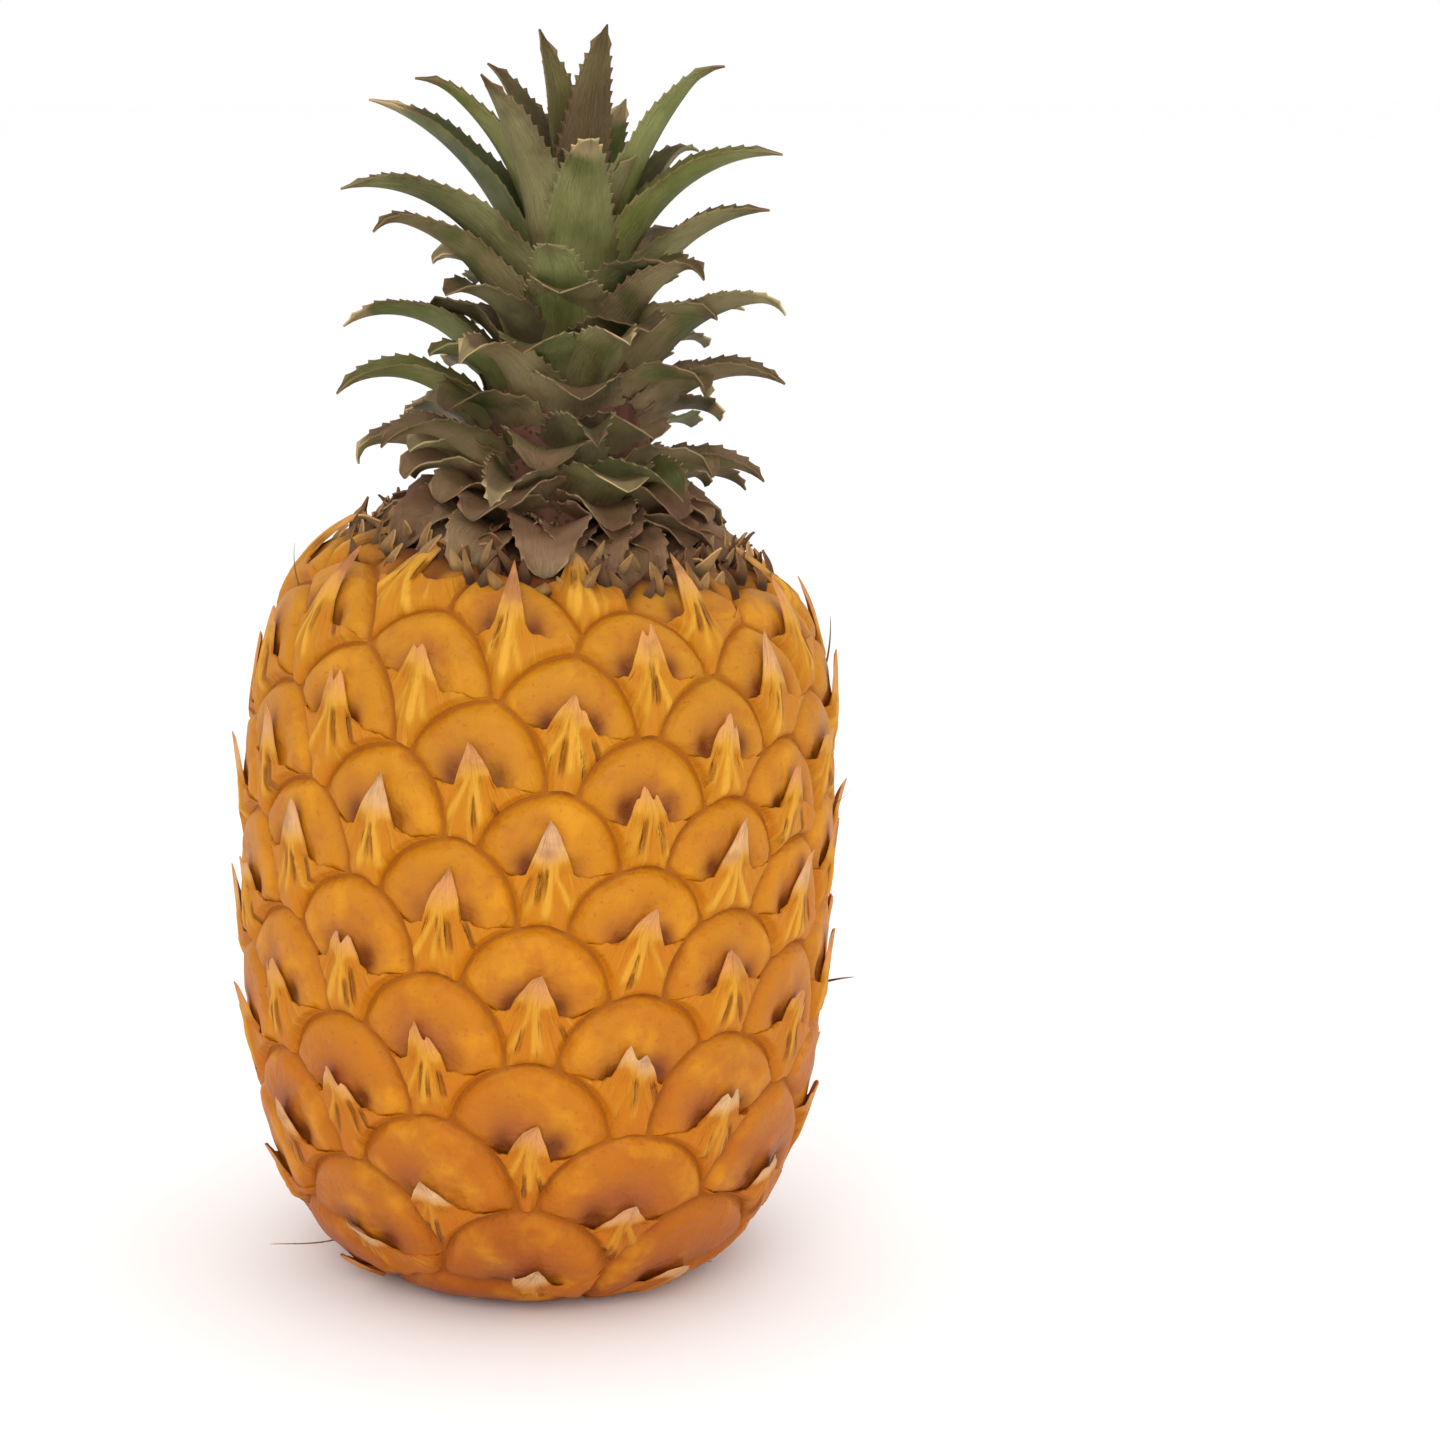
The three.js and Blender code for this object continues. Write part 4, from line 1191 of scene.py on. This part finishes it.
scale_forms = [
    leaf_of(dry_scale(ring, k), NUMBERS["scale"] + SCALE_NUMBERS * ring + k)
    for ring, (_, count) in enumerate(SCALE_RINGS)
    for k in range(count)
]
scales = leaf_piece("dry_scales", scale_forms, spiny=False)


def scale_material():
    material = new_material("dry scale")
    place, _ = material.attribute("leaf")
    _, along, own = place.parts()
    where = material.node("TexCoord", output=3)
    clouds = where.noise(160, 4)
    fibres = place.noise(5, 3, (16, 1, 9))
    tone = (fibres * 0.5 + clouds * 0.5).rise(0.3, 0.7)
    colour = tone.over(srgb(176, 116, 38), srgb(218, 166, 90))
    # Scales under the crown's foot turn darker: partly dry tissue, partly painted shade under the
    # crown.
    colour = (near_crown(where) * 0.85).over(colour, srgb(98, 60, 34))
    colour = (along.rise(0.55, 1) * 0.55).over(colour, srgb(150, 102, 62))
    colour = (own.rise(0.55, 0.7) * 0.75).over(colour, srgb(112, 66, 36))
    colour = (own.rise(0.4, 0.25) * 0.6).over(colour, srgb(226, 178, 112))
    # Painted shade: the scales' roots darkened where they crowd together.
    colour = (along.rise(0.62, 0.15) * 0.85).over(colour, srgb(62, 34, 14))
    colour = (along.rise(0.3, 0) * 0.6).over(colour, srgb(110, 58, 18))
    bumps = [(fibres, 0.0004), (where.noise(1300, 2), 0.0001)]
    material.finish(colour, 0.68 + 0.15 * clouds, bumps)
    return material.material


scales.data.materials.append(scale_material())
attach(scales, "root")

# ---- Wisps: a few bract tips that dried out to long thin hairs. They are dry fibre, rooted in the
# rind like the others, and stand off it. ----

WISPS = (  # level on the rind, degrees from the front, length, and direction out of and up the rind
    (124, 92, 9, 0.5, 1.0),
    (57, 90, 7, 1.0, 0.3),
    (66, -91, 8, 0.35, 1.0),
    (8, -70, 11, 1.0, 0.7),
    (97, 84, 6, 0.8, 0.7),
    (136, -78, 7, 0.9, 0.6),
)
WISP_ROWS = 12
WISP_SIDES = 6
WISP_RADIUS = {"root": 0.32, "tip": 0.05}
WISP_SWAY = 0.12
WISP_START = 1.2  # over the groove
WISP_AXIS = 55  # about how far off the fruit's axis they start


def wisp_mesh():
    points = []
    faces = []
    count = 0
    for number, (level, angle, length, outward, upward) in enumerate(WISPS):
        theta = math.radians(angle)
        s = profile("s", "z", level)
        t = np.linspace(0, 1, WISP_ROWS)
        sway = WISP_SWAY * length * np.sin(3 * t + number) * t
        middle_out = WISP_START + outward * length * t
        middle_s = s + upward * length * t + 0.35 * length * t * t * (1 - outward)
        radius = WISP_RADIUS["root"] * (1 - t) ** 0.7 + WISP_RADIUS["tip"]
        around = np.linspace(0, 2 * math.pi, WISP_SIDES, endpoint=False)
        wide = radius[:, None] * np.cos(around)
        tall = radius[:, None] * np.sin(around)
        turned = theta + (sway[:, None] + wide) / WISP_AXIS
        lift = middle_out[:, None] + tall * upward
        grid = skin_point(middle_s[:, None] + tall * outward, turned, lift)
        points.append(grid.reshape(-1, 3))
        own = grid_faces(WISP_ROWS, WISP_SIDES, closed=True)
        own.append(list(range(WISP_SIDES))[::-1])
        own.append(list(range((WISP_ROWS - 1) * WISP_SIDES, WISP_ROWS * WISP_SIDES)))
        faces += [[i + count for i in face] for face in own]
        count += len(points[-1])
    return np.vstack(points), faces


wisps = make_piece("wisps", *wisp_mesh(), {})
wisps.data.materials.append(dry_fibre_material("dry hair", srgb(150, 112, 74), srgb(92, 62, 40)))
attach(wisps, "root")

# ---- Stalk: the woody stem that carried the fruit, with its fibres and small dark bundles. It was
# cut off level in the dimple underneath. ----

STALK = ((0, 0.9), (11.4, 0.9), (12.3, 1.5), (12.1, 2.6), (11.3, 3.9), (0, 4.3))
STALK_SIDES = 64
STALK_ROWS = 36
STALK_ROUGHNESS = 0.02

stalk_points, stalk_faces = turned_mesh(STALK, STALK_SIDES, STALK_ROWS, STALK_ROUGHNESS)
stalk = make_piece("stalk", stalk_points, stalk_faces, {})
cut_wood = dry_fibre_material("cut stalk", srgb(206, 176, 124), srgb(150, 112, 70))
stalk.data.materials.append(cut_wood)
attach(stalk, "root")
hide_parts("stalk")

# ---- Floor and light: a pale floor in soft, even daylight from the front and above. Lengths here
# are in metres. ----

FLOOR_RADIUS = 6
FLOOR_SIDES = 96
LIT_POINT = Vector((0.005, 0, 0.11))
LAMPS = (  # size, power in watts, and place
    ("key", 0.7, 4.0, (-0.15, -1.08, 0.62)),
    ("fill", 0.9, 1.1, (0.9, -0.7, 0.45)),
    ("top", 0.8, 1.4, (0.1, 0.25, 1.2)),
)

floor_mesh = bpy.data.meshes.new("floor")
edge = np.linspace(0, 2 * math.pi, FLOOR_SIDES, endpoint=False)
rim = [(FLOOR_RADIUS * math.cos(a), FLOOR_RADIUS * math.sin(a), 0) for a in edge]
floor_mesh.from_pydata(rim, [], [list(range(FLOOR_SIDES))])
floor = bpy.data.objects.new("floor", floor_mesh)
bpy.context.scene.collection.objects.link(floor)
paper = new_material("pale floor")
paper_clouds = paper.node("TexCoord", output=3).noise(3)
paper_colour = paper_clouds.over(srgb(254, 254, 254), srgb(255, 255, 255))
paper.finish(paper_colour, 0.8, [(paper_clouds, 0.0001)])
floor_mesh.materials.append(paper.material)

for name, size, power, place in LAMPS:
    lamp = bpy.data.lights.new(name, "AREA")
    lamp.size = size
    lamp.energy = power
    light = bpy.data.objects.new(name, lamp)
    light.location = place
    light.rotation_euler = (LIT_POINT - Vector(place)).to_track_quat("-Z", "Y").to_euler()
    bpy.context.scene.collection.objects.link(light)

world = bpy.data.worlds.new("studio")
world.use_nodes = True
world.node_tree.nodes["Background"].inputs["Color"].default_value = (1, 1, 1, 1)
world.node_tree.nodes["Background"].inputs["Strength"].default_value = 1.0
bpy.context.scene.world = world
bpy.context.scene.view_settings.view_transform = "Standard"
